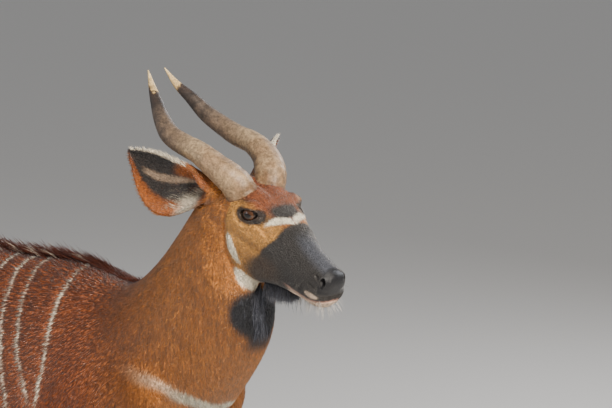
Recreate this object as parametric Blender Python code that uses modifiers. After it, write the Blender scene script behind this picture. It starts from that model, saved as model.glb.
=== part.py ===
"""A young adult bongo antelope, life size, standing still with its head turned a little to its right.

Metres, +Z up, +X forwards, +Y to the animal's left. The floor is z = 0.
The flesh is lofted from sections set by named sizes, blended by remeshing, and parted with thin cuts.
"""
import math
import random

import bmesh
import bpy
from mathutils import Euler, Matrix, Vector
from mathutils.bvhtree import BVHTree

# Driving sizes of a young adult.
WITHERS_HEIGHT = 1.16
EAR_LENGTH = 0.208
GAP = 0.0003

# Where the head is held: the poll, and how the head is turned there.
POLL = Vector((0.770, -0.011, 1.386))
HEAD_YAW = math.radians(-8.7)
HEAD_PITCH = math.radians(20.6)
HEAD_ROLL = math.radians(3.1)

BODY_VOXEL = 0.006
SMOOTHING = 200
BODY_TRIANGLES = 4000
HEAD_TRIANGLES = 1500
RING_SIDES = 40

for old in list(bpy.data.objects):
    bpy.data.objects.remove(old)

parts = bpy.data.collections.new("bongo")
cutters = bpy.data.collections.new("cutters")
cutters.hide_render = True
bpy.context.scene.collection.children.link(parts)
bpy.context.scene.collection.children.link(cutters)


def head_frame():
    """The head's own frame: its x runs from the poll to the nose, and its z out of the skull's top."""
    turn = (
        Matrix.Rotation(HEAD_YAW, 4, "Z")
        @ Matrix.Rotation(HEAD_PITCH, 4, "Y")
        @ Matrix.Rotation(HEAD_ROLL, 4, "X")
    )
    return Matrix.Translation(POLL) @ turn


HEAD = head_frame()


def material(name, colour, roughness, metallic=0.0):
    """A plain Principled material with the part's colour."""
    made = bpy.data.materials.new(name)
    made.use_nodes = True
    shader = made.node_tree.nodes["Principled BSDF"]
    shader.inputs["Base Color"].default_value = (*colour, 1.0)
    shader.inputs["Roughness"].default_value = roughness
    shader.inputs["Metallic"].default_value = metallic
    return made


COAT = material("chestnut_coat", (0.42, 0.13, 0.03), 0.6)
DARK_COAT = material("dark_coat", (0.03, 0.022, 0.02), 0.6)
HORN = material("horn_keratin", (0.42, 0.30, 0.19), 0.35)
HOOF = material("hoof_keratin", (0.05, 0.04, 0.035), 0.4)
EYE = material("eye", (0.02, 0.01, 0.006), 0.05)


def new_object(name, mesh, collection=parts):
    made = bpy.data.objects.new(name, mesh)
    collection.objects.link(made)
    return made


def mesh_object(name, bm, collection=parts):
    bmesh.ops.recalc_face_normals(bm, faces=bm.faces)
    mesh = bpy.data.meshes.new(name)
    bm.to_mesh(mesh)
    bm.free()
    return new_object(name, mesh, collection)


def spread(stations, count):
    """Smooth rows between the stations: a Catmull-Rom curve through them at even steps of their number."""
    rows = []
    last = len(stations) - 1
    for step in range(count):
        along = step / (count - 1) * last
        at = min(int(along), last - 1)
        t = along - at
        before, start, end, after = (
            stations[max(at - 1, 0)],
            stations[at],
            stations[at + 1],
            stations[min(at + 2, last)],
        )
        rows.append(
            [
                0.5
                * (
                    2 * q
                    + (r - p) * t
                    + (2 * p - 5 * q + 4 * r - s) * t * t
                    + (3 * q - p - 3 * r + s) * t ** 3
                )
                for p, q, r, s in zip(before, start, end, after)
            ]
        )
    return rows


def egg(angle, half_width, up, down, power_up, power_down):
    """A point of a rounded section: half_width to each side of its middle, up above it and down below it."""
    c, s = math.cos(angle), math.sin(angle)
    power = power_up if s >= 0 else power_down
    y = half_width * math.copysign(abs(c) ** (2 / power), c)
    z = (up if s >= 0 else down) * math.copysign(abs(s) ** (2 / power), s)
    return y, z


def loft(name, frames, sections, sides=RING_SIDES, collection=cutters):
    """A closed skin over rings of points. A frame is the ring's matrix, with the ring in its YZ plane."""
    bm = bmesh.new()
    rings = []
    for frame, section in zip(frames, sections):
        made = bmesh.ops.create_circle(bm, segments=sides, radius=1.0)
        for number, vert in enumerate(made["verts"]):
            y, z = egg(2 * math.pi * number / sides, *section)
            vert.co = frame @ Vector((0.0, y, z))
        rings.append(made["verts"])
    for first, second in zip(rings, rings[1:]):
        for number in range(sides):
            after = (number + 1) % sides
            bm.faces.new((first[number], first[after], second[after], second[number]))
    bm.faces.new(list(reversed(rings[0])))
    bm.faces.new(rings[-1])
    return mesh_object(name, bm, collection)


def applied(obj):
    """The object with its modifiers' result as its mesh."""
    bpy.context.view_layer.update()
    graph = bpy.context.evaluated_depsgraph_get()
    mesh = bpy.data.meshes.new_from_object(obj.evaluated_get(graph))
    obj.modifiers.clear()
    obj.data = mesh
    return obj


def boolean(obj, operation, other, solver="MANIFOLD"):
    """Cuts, joins or keeps the overlap of obj with an object, or with all that a collection holds."""
    modifier = obj.modifiers.new(operation.lower(), "BOOLEAN")
    modifier.operation = operation
    modifier.solver = solver
    if isinstance(other, bpy.types.Collection):
        modifier.operand_type = "COLLECTION"
        modifier.collection = other
    else:
        modifier.object = other
    return applied(obj)


def keep_largest(obj):
    """Drops loose scraps and sealed hollows: only the largest closed surface stays."""
    bm = bmesh.new()
    bm.from_mesh(obj.data)
    bm.verts.ensure_lookup_table()
    seen = set()
    islands = []
    for vert in bm.verts:
        if vert in seen:
            continue
        island, edge = [], [vert]
        seen.add(vert)
        while edge:
            at = edge.pop()
            island.append(at)
            for near in at.link_edges:
                other = near.other_vert(at)
                if other not in seen:
                    seen.add(other)
                    edge.append(other)
        islands.append(island)
    islands.sort(key=len)
    for island in islands[:-1]:
        bmesh.ops.delete(bm, geom=island, context="VERTS")
    bm.to_mesh(obj.data)
    bm.free()
    return obj


def joined(name, pieces, collection=parts):
    """One object that holds all the pieces' meshes, overlapping as they stand."""
    bm = bmesh.new()
    for piece in pieces:
        bm.from_mesh(piece.data)
        bpy.data.objects.remove(piece)
    return mesh_object(name, bm, collection)


def remeshed(obj, voxel):
    """The pieces of obj blended into one closed skin of even squares."""
    modifier = obj.modifiers.new("remesh", "REMESH")
    modifier.mode = "VOXEL"
    modifier.voxel_size = voxel
    return applied(obj)


def smoothed(obj, repeat, weight=None, factor=0.5):
    """Evens the skin out. weight says from 0 to 1 how much each point takes part."""
    modifier = obj.modifiers.new("smooth", "SMOOTH")
    modifier.factor = factor
    modifier.iterations = repeat
    if weight:
        group = obj.vertex_groups.new(name="smooth")
        for vert in obj.data.vertices:
            group.add([vert.index], weight(vert.co), "REPLACE")
        modifier.vertex_group = "smooth"
    applied(obj)
    obj.vertex_groups.clear()
    return obj


def thinned(obj, triangles):
    """The same shape in about this many triangles."""
    obj.data.calc_loop_triangles()
    modifier = obj.modifiers.new("decimate", "DECIMATE")
    modifier.ratio = triangles / len(obj.data.loop_triangles)
    return applied(obj)


def half(obj, name, point, normal, collection=parts):
    """A copy of obj with only what lies behind the plane, closed where it is cut."""
    bm = bmesh.new()
    bm.from_mesh(obj.data)
    bmesh.ops.bisect_plane(
        bm,
        geom=bm.verts[:] + bm.edges[:] + bm.faces[:],
        plane_co=point,
        plane_no=normal,
        clear_outer=True,
    )
    rim = [edge for edge in bm.edges if edge.is_boundary]
    bmesh.ops.triangle_fill(bm, use_beauty=True, edges=rim, normal=normal)
    return mesh_object(name, bm, collection)


def falloff(distance, radius):
    """1 at the middle and 0 at the radius, flat at both."""
    t = max(0.0, 1.0 - distance / radius)
    return t * t * (3 - 2 * t)


def push(obj, frame, moves):
    """Moulds the skin: each move is a middle, a radius and a shift, in that frame."""
    inverse = frame.inverted()
    turn = frame.to_3x3()
    placed = [(Vector(m), Vector(r), Vector(s)) for m, r, s in moves]
    for vert in obj.data.vertices:
        at = inverse @ vert.co
        shift = Vector()
        for middle, radius, move in placed:
            away = at - middle
            distance = Vector(
                (away.x / radius.x, away.y / radius.y, away.z / radius.z)
            ).length
            if distance < 1:
                shift += move * falloff(distance, 1.0)
        vert.co += turn @ shift


def both_sides(moves):
    """The moves on the left, y above 0, and the same on the right."""
    mirrored = [
        ((m[0], -m[1], m[2]), r, (s[0], -s[1], s[2])) for m, r, s in moves if m[1]
    ]
    return list(moves) + mirrored


# Trunk stations, tail to chest: x, top, bottom, widest height, half width, roundness above and below.
BACK = WITHERS_HEIGHT - 0.006
TRUNK = [
    (-0.655, BACK - 0.20, BACK - 0.34, BACK - 0.27, 0.05, 2.0, 2.0),
    (-0.63, BACK - 0.105, BACK - 0.42, BACK - 0.25, 0.115, 2.0, 2.0),
    (-0.57, BACK - 0.03, BACK - 0.485, BACK - 0.25, 0.170, 2.0, 2.1),
    (-0.46, BACK + 0.017, BACK - 0.53, BACK - 0.25, 0.205, 2.0, 2.2),
    (-0.33, BACK + 0.028, BACK - 0.55, BACK - 0.27, 0.215, 2.0, 2.2),
    (-0.18, BACK + 0.018, BACK - 0.585, BACK - 0.30, 0.232, 2.0, 2.2),
    (0.00, BACK - 0.002, BACK - 0.612, BACK - 0.32, 0.245, 2.0, 2.2),
    (0.16, BACK - 0.008, BACK - 0.605, BACK - 0.33, 0.232, 1.95, 2.2),
    (0.30, BACK, BACK - 0.575, BACK - 0.33, 0.205, 1.85, 2.2),
    (0.42, BACK - 0.012, BACK - 0.545, BACK - 0.32, 0.180, 1.8, 2.2),
    (0.54, BACK - 0.07, BACK - 0.49, BACK - 0.31, 0.165, 1.9, 2.2),
    (0.645, BACK - 0.15, BACK - 0.42, BACK - 0.29, 0.140, 2.0, 2.1),
    (0.69, BACK - 0.22, BACK - 0.35, BACK - 0.28, 0.080, 2.0, 2.0),
]

# Neck stations, chest to head: x, y, z of the axis, its slope in degrees, half width, size above and below.
NECK = [
    (0.36, 0.0, 0.93, 5, 0.140, 0.190, 0.270),
    (0.47, 0.0, 0.965, 22, 0.134, 0.155, 0.235),
    (0.570, 0.0, 1.03, 36, 0.120, 0.122, 0.226),
    (0.655, -0.002, 1.110, 42, 0.103, 0.112, 0.212),
    (0.725, -0.006, 1.190, 42, 0.091, 0.114, 0.194),
    (0.785, -0.011, 1.262, 28, 0.083, 0.118, 0.162),
    (0.845, -0.018, 1.302, 8, 0.068, 0.095, 0.115),
]

# Head stations in the head's own frame, poll to nose: x, top, bottom, widest height, half width, roundness.
SKULL = [
    (-0.035, -0.025, -0.125, -0.07, 0.045, 2.0, 2.0),
    (-0.015, -0.004, -0.155, -0.065, 0.064, 2.1, 2.0),
    (0.03, 0.012, -0.178, -0.055, 0.074, 2.2, 2.0),
    (0.07, 0.026, -0.184, -0.045, 0.077, 2.3, 2.0),
    (0.11, 0.032, -0.180, -0.035, 0.079, 2.3, 2.0),
    (0.15, 0.028, -0.166, -0.030, 0.076, 2.2, 2.0),
    (0.19, 0.017, -0.150, -0.040, 0.066, 2.1, 2.0),
    (0.23, 0.005, -0.136, -0.052, 0.056, 2.1, 2.0),
    (0.27, -0.006, -0.127, -0.068, 0.0470, 1.9, 2.1),
    (0.305, -0.015, -0.121, -0.072, 0.0430, 1.9, 2.2),
    (0.338, -0.022, -0.117, -0.074, 0.0410, 2.0, 2.3),
    (0.358, -0.030, -0.110, -0.072, 0.0360, 2.1, 2.3),
    (0.370, -0.042, -0.097, -0.070, 0.024, 2.1, 2.2),
]

# Front leg stations from the shoulder down: z, x, y, half depth along x, half width.
FORE = [
    (0.98, 0.400, 0.110, 0.100, 0.045),
    (0.88, 0.435, 0.128, 0.118, 0.058),
    (0.78, 0.452, 0.138, 0.118, 0.063),
    (0.69, 0.432, 0.134, 0.098, 0.058),
    (0.62, 0.405, 0.126, 0.080, 0.050),
    (0.55, 0.396, 0.120, 0.058, 0.043),
    (0.46, 0.398, 0.115, 0.043, 0.036),
    (0.38, 0.402, 0.112, 0.034, 0.032),
    (0.34, 0.404, 0.111, 0.0375, 0.0355),
    (0.295, 0.402, 0.111, 0.0315, 0.031),
    (0.24, 0.398, 0.111, 0.0245, 0.0225),
    (0.17, 0.396, 0.111, 0.0245, 0.0225),
    (0.125, 0.394, 0.111, 0.0325, 0.0285),
    (0.09, 0.404, 0.111, 0.0275, 0.0275),
    (0.055, 0.420, 0.111, 0.0335, 0.0335),
    (0.02, 0.430, 0.111, 0.0335, 0.0335),
]

# Hind leg stations from the hip down.
HIND = [
    (1.05, -0.440, 0.075, 0.110, 0.070),
    (0.95, -0.465, 0.112, 0.150, 0.082),
    (0.84, -0.460, 0.128, 0.158, 0.084),
    (0.74, -0.437, 0.132, 0.140, 0.076),
    (0.65, -0.428, 0.128, 0.110, 0.062),
    (0.57, -0.458, 0.122, 0.074, 0.047),
    (0.505, -0.503, 0.118, 0.056, 0.036),
    (0.455, -0.535, 0.116, 0.051, 0.030),
    (0.405, -0.545, 0.115, 0.045, 0.032),
    (0.35, -0.541, 0.115, 0.034, 0.029),
    (0.28, -0.533, 0.115, 0.0255, 0.0225),
    (0.19, -0.526, 0.115, 0.0255, 0.0225),
    (0.135, -0.522, 0.115, 0.0330, 0.0285),
    (0.095, -0.510, 0.115, 0.0280, 0.0275),
    (0.058, -0.494, 0.115, 0.0335, 0.0335),
    (0.02, -0.484, 0.115, 0.0335, 0.0335),
]

# Each leg: name, stations, side, and how far its foot is set forwards of the plain stance.
LEGS = [
    ("foreleg_right", FORE, -1, 0.035),
    ("foreleg_left", FORE, 1, -0.030),
    ("hindleg_right", HIND, -1, -0.040),
    ("hindleg_left", HIND, 1, 0.045),
]
SWING_TOP = 0.75


def swing(z, step):
    """How far a leg's section at this height is shifted, for a foot set a step forwards."""
    return step * max(0.0, 1.0 - z / SWING_TOP)


def trunk_loft():
    rows = spread(TRUNK, 60)
    frames = [Matrix.Translation((x, 0.0, widest)) for x, _, _, widest, *_ in rows]
    sections = [
        (width, top - widest, widest - bottom, up, down)
        for _, top, bottom, widest, width, up, down in rows
    ]
    return loft("trunk", frames, sections, 56)


def neck_loft():
    rows = spread(NECK, 40)
    frames, sections = [], []
    for x, y, z, slope, width, above, below in rows:
        turn = Euler((0.0, -math.radians(slope), 0.0)).to_matrix().to_4x4()
        frames.append(Matrix.Translation((x, y, z)) @ turn)
        sections.append((width, above, below, 2.0, 2.1))
    return loft("neck_loft", frames, sections)


def skull_loft():
    rows = spread(SKULL, 60)
    frames = [HEAD @ Matrix.Translation((x, 0.0, widest)) for x, _, _, widest, *_ in rows]
    sections = [
        (width, top - widest, widest - bottom, up, down)
        for _, top, bottom, widest, width, up, down in rows
    ]
    return loft("skull", frames, sections, 48)


def leg_loft(name, stations, side, step):
    """A leg from level sections. The ring lies in its frame's YZ plane, so the frame is laid on its back."""
    rows = spread(stations, 64)
    frames, sections = [], []
    lay = Matrix(((0, 0, 1, 0), (0, 1, 0, 0), (-1, 0, 0, 0), (0, 0, 0, 1)))
    for z, x, y, depth, width in rows:
        frames.append(Matrix.Translation((x + swing(z, step), side * y, z)) @ lay)
        sections.append((width, depth, depth, 2.1, 2.1))
    return loft(name + "_loft", frames, sections, 28)


def body_weight(point):
    """The trunk is smoothed in full, the head and the slim lower legs hardly at all."""
    ahead = (HEAD.inverted() @ point).x
    by_head = min(1.0, max(0.06, (0.045 - ahead) / 0.09))
    return min(by_head, max(0.06, (point.z - 0.50) / 0.14), 1.0)


# Muscle and bone on the trunk, on the left: middle, radii, shift.
BODY_FORM = both_sides(
    [
        ((0.50, 0.17, 0.88), (0.10, 0.09, 0.12), (0.012, 0.010, 0.0)),
        ((0.62, 0.13, 0.90), (0.11, 0.10, 0.13), (0.024, 0.012, 0.0)),
        ((0.36, 0.20, 0.86), (0.06, 0.10, 0.26), (0.0, -0.008, 0.0)),
        ((0.30, 0.12, 1.05), (0.10, 0.12, 0.14), (0.0, 0.010, 0.0)),
        ((-0.22, 0.22, 0.72), (0.14, 0.16, 0.18), (0.0, -0.022, 0.0)),
        ((-0.24, 0.19, 1.00), (0.14, 0.12, 0.12), (0.0, -0.012, 0.0)),
        ((-0.38, 0.13, 1.12), (0.10, 0.08, 0.08), (0.0, 0.007, 0.005)),
    ]
)

# Forms of the head, on the left, in the head's own frame.
HEAD_FORM = both_sides(
    [
        # The brow over the eye, and the bony rim behind and under it.
        ((0.140, 0.062, 0.012), (0.045, 0.032, 0.026), (0.0, 0.006, 0.002)),
        ((0.120, 0.070, -0.030), (0.040, 0.030, 0.028), (0.0, 0.006, 0.0)),
        ((0.185, 0.050, -0.040), (0.055, 0.030, 0.018), (0.0, 0.006, 0.0)),
        # The rise under each horn, with the dip between them.
        ((0.085, 0.036, 0.028), (0.055, 0.036, 0.040), (0.004, 0.0, 0.009)),
        ((0.100, 0.000, 0.030), (0.060, 0.016, 0.040), (0.0, 0.0, -0.003)),
        # The hollow in front of the eye and the temple behind it.
        ((0.205, 0.048, -0.016), (0.035, 0.024, 0.022), (0.0, -0.005, 0.0)),
        ((0.070, 0.068, -0.020), (0.030, 0.030, 0.030), (0.0, -0.006, 0.0)),
        # The cheek muscle, the jaw's edge and the slimmer side of the muzzle.
        ((0.105, 0.060, -0.095), (0.070, 0.040, 0.060), (0.0, 0.008, 0.0)),
        ((0.245, 0.040, -0.085), (0.055, 0.030, 0.030), (0.0, -0.004, 0.0)),
        # The wing of the nostril, the upper lip and the chin.
        ((0.352, 0.032, -0.046), (0.030, 0.022, 0.024), (0.003, 0.004, 0.003)),
        ((0.345, 0.034, -0.082), (0.040, 0.022, 0.018), (0.0, 0.004, 0.0)),
        ((0.345, 0.000, -0.115), (0.035, 0.030, 0.020), (0.0, 0.0, -0.004)),
    ]
)


def trunk_skin_pieces():
    legs = [leg_loft(*leg) for leg in LEGS]
    return [trunk_loft(), neck_loft(), skull_loft(), *legs]


def build_flesh():
    """The whole animal's flesh as one moulded skin, head, neck, trunk and legs down to the coronets."""
    skin = joined("flesh", trunk_skin_pieces(), cutters)
    remeshed(skin, BODY_VOXEL)
    smoothed(skin, SMOOTHING, body_weight)
    push(skin, Matrix.Identity(4), BODY_FORM)
    push(skin, HEAD, HEAD_FORM)
    smoothed(skin, SMOOTHING // 6, body_weight)
    return skin


def tube(name, points, radii, sides, shape=None, collection=cutters):
    """A closed tapering tube through the points. shape scales the radius by row and angle."""
    frames, rings = [], []
    side = Vector((0.0, 0.0, 1.0))
    for number, point in enumerate(points):
        before = points[max(number - 1, 0)]
        after = points[min(number + 1, len(points) - 1)]
        ahead = (after - before).normalized()
        side = (side - ahead * side.dot(ahead)).normalized()
        across = ahead.cross(side)
        frames.append((point, side, across))
    bm = bmesh.new()
    for row, (radius, (point, side, across)) in enumerate(zip(radii, frames)):
        ring = bmesh.ops.create_circle(bm, segments=sides, radius=1.0)["verts"]
        for number, vert in enumerate(ring):
            angle = 2 * math.pi * number / sides
            size = radius * (shape(row, angle) if shape else 1.0)
            vert.co = point + (side * math.cos(angle) + across * math.sin(angle)) * size
        rings.append(ring)
    return skinned(name, bm, rings, collection)


def skinned(name, bm, rings, collection=cutters):
    """Faces between rings of equal count, with both ends closed."""
    sides = len(rings[0])
    for first, second in zip(rings, rings[1:]):
        for number in range(sides):
            after = (number + 1) % sides
            bm.faces.new((first[number], first[after], second[after], second[number]))
    bm.faces.new(list(reversed(rings[0])))
    bm.faces.new(rings[-1])
    return mesh_object(name, bm, collection)


def ball(name, frame, radii, detail=3):
    """An ellipsoid in a frame."""
    bm = bmesh.new()
    size = Matrix.Diagonal((*radii, 1.0))
    bmesh.ops.create_icosphere(bm, subdivisions=detail, radius=1.0, matrix=frame @ size)
    return mesh_object(name, bm, cutters)


def box(name, low, high):
    bm = bmesh.new()
    size = [b - a for a, b in zip(low, high)]
    middle = [(a + b) / 2 for a, b in zip(low, high)]
    frame = Matrix.Translation(middle) @ Matrix.Diagonal((*size, 1.0))
    bmesh.ops.create_cube(bm, size=1.0, matrix=frame)
    return mesh_object(name, bm, cutters)


def copied(obj, name, collection=cutters):
    made = new_object(name, obj.data.copy(), collection)
    return made


def grown(obj, by=1.8 * GAP):
    """A cutter a little larger than the piece all round, for the seat it sits in."""
    made = copied(obj, obj.name + "_seat")
    modifier = made.modifiers.new("grow", "DISPLACE")
    modifier.strength = by
    modifier.mid_level = 0.0
    return applied(made)


def cut_seat(obj, piece):
    """Takes the piece's seat out of obj, so that the piece fits there with a gap all round."""
    return cut_away(obj, grown(piece))


def cut_away(obj, cutter):
    boolean(obj, "DIFFERENCE", cutter)
    bpy.data.objects.remove(cutter)
    return keep_largest(obj)


def fused(obj, pieces):
    """The object and all the pieces as one body, by one union on a collection of the pieces."""
    group = bpy.data.collections.new("fused")
    bpy.context.scene.collection.children.link(group)
    for piece in pieces:
        for holder in list(piece.users_collection):
            holder.objects.unlink(piece)
        group.objects.link(piece)
    boolean(obj, "UNION", group)
    for piece in list(group.objects):
        bpy.data.objects.remove(piece)
    bpy.data.collections.remove(group)
    return keep_largest(obj)


def finished(obj, look):
    """Gives the piece its material and moves it to the collection of parts."""
    obj.data.materials.clear()
    obj.data.materials.append(look)
    for holder in list(obj.users_collection):
        holder.objects.unlink(obj)
    parts.objects.link(obj)
    return obj


# The head is cut off down behind the jaw, and the neck along a plane that leans on the shoulder.
NAPE_CUT = HEAD @ Vector((-0.020, 0.0, 0.0))
NAPE_AHEAD = (HEAD.to_3x3() @ Vector((0.20, 0.0, 0.135))).normalized()
NECK_CUT = Vector((0.52, 0.0, 1.0))
NECK_AHEAD = Vector((math.cos(math.radians(30)), 0.0, math.sin(math.radians(30))))
CUT_MARGIN = 0.03

# The box round each leg, front and hind: low x, high x and the height of the cut.
FORE_BOX = (0.28, 0.58, 0.56)
HIND_BOX = (-0.80, -0.315, 0.575)


def parted_head(flesh):
    """The head, thinned on its own so that it keeps more detail than the body."""
    rough = half(flesh, "head_rough", NAPE_CUT - NAPE_AHEAD * CUT_MARGIN, -NAPE_AHEAD, cutters)
    thinned(rough, HEAD_TRIANGLES)
    head = half(rough, "head", NAPE_CUT + NAPE_AHEAD * GAP / 2, -NAPE_AHEAD)
    bpy.data.objects.remove(rough)
    return head


def parted_body(flesh):
    """Neck, torso and the four legs, each leg still without its hooves."""
    rough = half(flesh, "body_rough", NAPE_CUT + NAPE_AHEAD * CUT_MARGIN, NAPE_AHEAD, cutters)
    thinned(rough, BODY_TRIANGLES)
    body = half(rough, "body", NAPE_CUT - NAPE_AHEAD * GAP / 2, NAPE_AHEAD, cutters)
    neck = half(body, "neck", NECK_CUT + NECK_AHEAD * GAP / 2, -NECK_AHEAD)
    torso = half(body, "torso", NECK_CUT - NECK_AHEAD * GAP / 2, NECK_AHEAD)
    bpy.data.objects.remove(rough)
    bpy.data.objects.remove(body)
    legs = {}
    for name, stations, side, _ in LEGS:
        back, front, top = FORE_BOX if stations is FORE else HIND_BOX
        inner, outer = sorted((side * 0.012, side * 0.40))
        leg = copied(torso, name)
        keep = box("keep", (back, inner, -0.1), (front, outer, top - GAP))
        boolean(leg, "INTERSECT", keep)
        bpy.data.objects.remove(keep)
        legs[name] = keep_largest(leg)
    for name, stations, side, _ in LEGS:
        back, front, top = FORE_BOX if stations is FORE else HIND_BOX
        inner, outer = sorted((side * 0.012, side * 0.40))
        cut_away(torso, box("away", (back, inner, -0.1), (front, outer, top)))
    return neck, torso, legs


# The foot: slope of the coronet, its height at the middle, the hoof's half length, a toe's half width.
CORONET_SLOPE = math.radians(21)
CORONET_HEIGHT = 0.050
TOE_HALF_LENGTH = 0.048
TOE_HALF_WIDTH = 0.0198
TOE_APART = 0.0008
LAY = Matrix(((0, 0, 1, 0), (0, 1, 0, 0), (-1, 0, 0, 0), (0, 0, 0, 1)))

# Rows of a toe from coronet to sole: share of the way down, shift forwards, half length, half width.
TOE = [
    (0.0, 0.000, 0.0335, 0.0165),
    (0.15, 0.002, 0.0375, 0.0180),
    (0.5, 0.006, 0.0425, 0.0192),
    (0.85, 0.010, TOE_HALF_LENGTH, TOE_HALF_WIDTH),
    (1.0, 0.010, TOE_HALF_LENGTH - 0.002, TOE_HALF_WIDTH - 0.0015),
]


def foot_middle(stations, side, step):
    """Where the leg's axis meets the coronet."""
    z, x, y, _, _ = stations[-2]
    return Vector((x + swing(CORONET_HEIGHT, step), side * y, CORONET_HEIGHT))


def toe(name, middle, side):
    """One toe of a cloven hoof: side is 1 for the left toe and -1 for the right."""
    frames, sections = [], []
    for down, ahead, length, width in TOE:
        height = (CORONET_HEIGHT - GAP) * (1 - down)
        slope = CORONET_SLOPE * (1 - down)
        across = side * (width + TOE_APART)
        place = Matrix.Translation((middle.x + ahead, middle.y + across, height))
        tilt = Matrix.Rotation(-slope, 4, "Y")
        frames.append(place @ tilt @ LAY)
        sections.append((width, length, length, 2.3, 2.3))
    return loft(name, frames, sections, 12)


def dewclaw(name, middle, side):
    """A small blunt claw behind the fetlock."""
    root = middle + Vector((-0.030, side * 0.016, 0.062))
    tip = root + Vector((-0.016, side * 0.004, -0.026))
    points = [root.lerp(tip, t) for t in (0.0, 0.35, 0.75, 1.0)]
    return tube(name, points, (0.011, 0.0115, 0.0085, 0.003), 8)


def finish_leg(leg, name, stations, side, step):
    """Cuts the coronet, sets the two toes and the two dewclaws."""
    middle = foot_middle(stations, side, step)
    outer = Vector((math.sin(CORONET_SLOPE), 0.0, -math.cos(CORONET_SLOPE)))
    shortened = half(leg, name + "_cut", middle, outer)
    bpy.data.objects.remove(leg)
    for toe_name, toe_side in (("left_toe", 1), ("right_toe", -1)):
        finished(toe(name + "_" + toe_name, middle, toe_side), HOOF)
    for claw_name, claw_side in (("left_dewclaw", 1), ("right_dewclaw", -1)):
        claw = dewclaw(name + "_" + claw_name, middle, claw_side)
        cut_seat(shortened, claw)
        finished(claw, HOOF)
    shortened.name = name
    return finished(shortened, COAT)


# The horn's axis from its seat to its tip in the head's frame, on the left: x, y, z, radius.
HORN_AXIS = [
    (0.085, 0.034, 0.006, 0.0335),
    (0.066, 0.047, 0.031, 0.0330),
    (0.020, 0.066, 0.0475, 0.0285),
    (-0.031, 0.072, 0.053, 0.0250),
    (-0.082, 0.0705, 0.0455, 0.0235),
    (-0.134, 0.070, 0.043, 0.0215),
    (-0.181, 0.059, 0.0515, 0.0190),
    (-0.224, 0.0465, 0.069, 0.0145),
    (-0.266, 0.0325, 0.0845, 0.0085),
    (-0.303, 0.022, 0.107, 0.0012),
]
KEEL_TURNS = 0.75


def horn(name, side):
    """A horn that swings back and out and then in again, with a keel that winds once round it."""
    rows = spread(HORN_AXIS, 20)
    points = [HEAD @ Vector((x, side * y, z)) for x, y, z, _ in rows]
    radii = [max(r, 0.001) for *_, r in rows]

    def keel(row, angle):
        along = row / (len(rows) - 1)
        turned = angle - side * (0.6 + 2 * math.pi * KEEL_TURNS * along)
        ridge = 0.5 + 0.5 * math.cos(turned)
        return 0.96 + 0.13 * ridge ** 6 * (1 - along)

    return tube(name, points, radii, 12, keel)


# The ear in the head's frame, as on the left: its root, each ear's axis and the way its cup opens.
EAR_ROOT = Vector((0.034, 0.050, -0.016))
EAR_AXES = {1: Vector((-0.66, 0.73, 0.12)), -1: Vector((-0.772, 0.604, 0.199))}
EAR_OPEN = Vector((0.596, 0.796, -0.10)).normalized()

# Ear rows from root to tip: share of the length, half width, half thickness, set back and set down.
EAR = [
    (-0.03, 0.0210, 0.0190, 0.0, 0.0),
    (0.10, 0.0270, 0.0215, 0.0, 0.003),
    (0.22, 0.0470, 0.0240, 0.001, 0.020),
    (0.36, 0.0660, 0.0220, 0.003, 0.036),
    (0.50, 0.0730, 0.0195, 0.004, 0.043),
    (0.64, 0.0690, 0.0155, 0.004, 0.040),
    (0.78, 0.0530, 0.0115, 0.003, 0.028),
    (0.90, 0.0290, 0.0075, 0.001, 0.013),
    (1.00, 0.0060, 0.0040, -0.002, 0.0),
]


def ear_frame(side, along, back, down):
    """The ring's frame at this share of the ear's length: its x is the axis and its z the cup's opening."""
    mirror = Vector((1.0, side, 1.0))
    axis = (HEAD.to_3x3() @ (EAR_AXES[side] * mirror)).normalized()
    opening = HEAD.to_3x3() @ (EAR_OPEN * mirror)
    opening = (opening - axis * opening.dot(axis)).normalized()
    across = opening.cross(axis)
    root = HEAD @ (EAR_ROOT * mirror)
    centre = root + axis * (EAR_LENGTH * along) - opening * back - across * side * down
    frame = Matrix((axis, across, opening)).transposed().to_4x4()
    return Matrix.Translation(centre) @ frame


def ear(name, side):
    """A leaf-shaped ear, hollowed from the front, and the same ear whole."""
    rows = spread(EAR, 12)
    frames = [ear_frame(side, along, back, down) for along, _, _, back, down in rows]
    cup = loft(name, frames, [(w, t, t, 2.0, 2.0) for _, w, t, _, _ in rows], 14)
    whole = copied(cup, name + "_whole")
    frames, sections = [], []
    for along, width, thick, back, down in spread(EAR, 11):
        if along < 0.10:
            continue
        open_out = min(1.0, (along - 0.08) / 0.25)
        wall = 0.0055 - 0.0025 * along
        frames.append(ear_frame(side, along, back - wall - 0.35 * thick * open_out, down))
        inside = max(width - 1.1 * wall, 0.001) * (0.35 + 0.65 * open_out)
        sections.append((inside, thick * (1 + 0.35 * open_out), thick, 2.0, 2.0))
    cut_away(cup, loft(name + "_hollow", frames, sections, 12))
    return cup, whole


EYE_RADIUS = 0.0215
LID = 0.0032
EYE_PLACE = Vector((0.141, 0.0500, -0.001))
EYE_OUT = Vector((0.34, 0.93, 0.05)).normalized()


def eye_frame(side):
    """The eye's frame: its x runs forwards along the opening and its z out of the head."""
    mirror = Vector((1.0, side, 1.0))
    out = (HEAD.to_3x3() @ (EYE_OUT * mirror)).normalized()
    ahead = HEAD.to_3x3() @ Vector((1.0, 0.0, -0.12))
    ahead = (ahead - out * ahead.dot(out)).normalized()
    up = out.cross(ahead)
    turn = Matrix((ahead, up, out)).transposed().to_4x4()
    return Matrix.Translation(HEAD @ (EYE_PLACE * mirror)) @ turn


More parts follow.
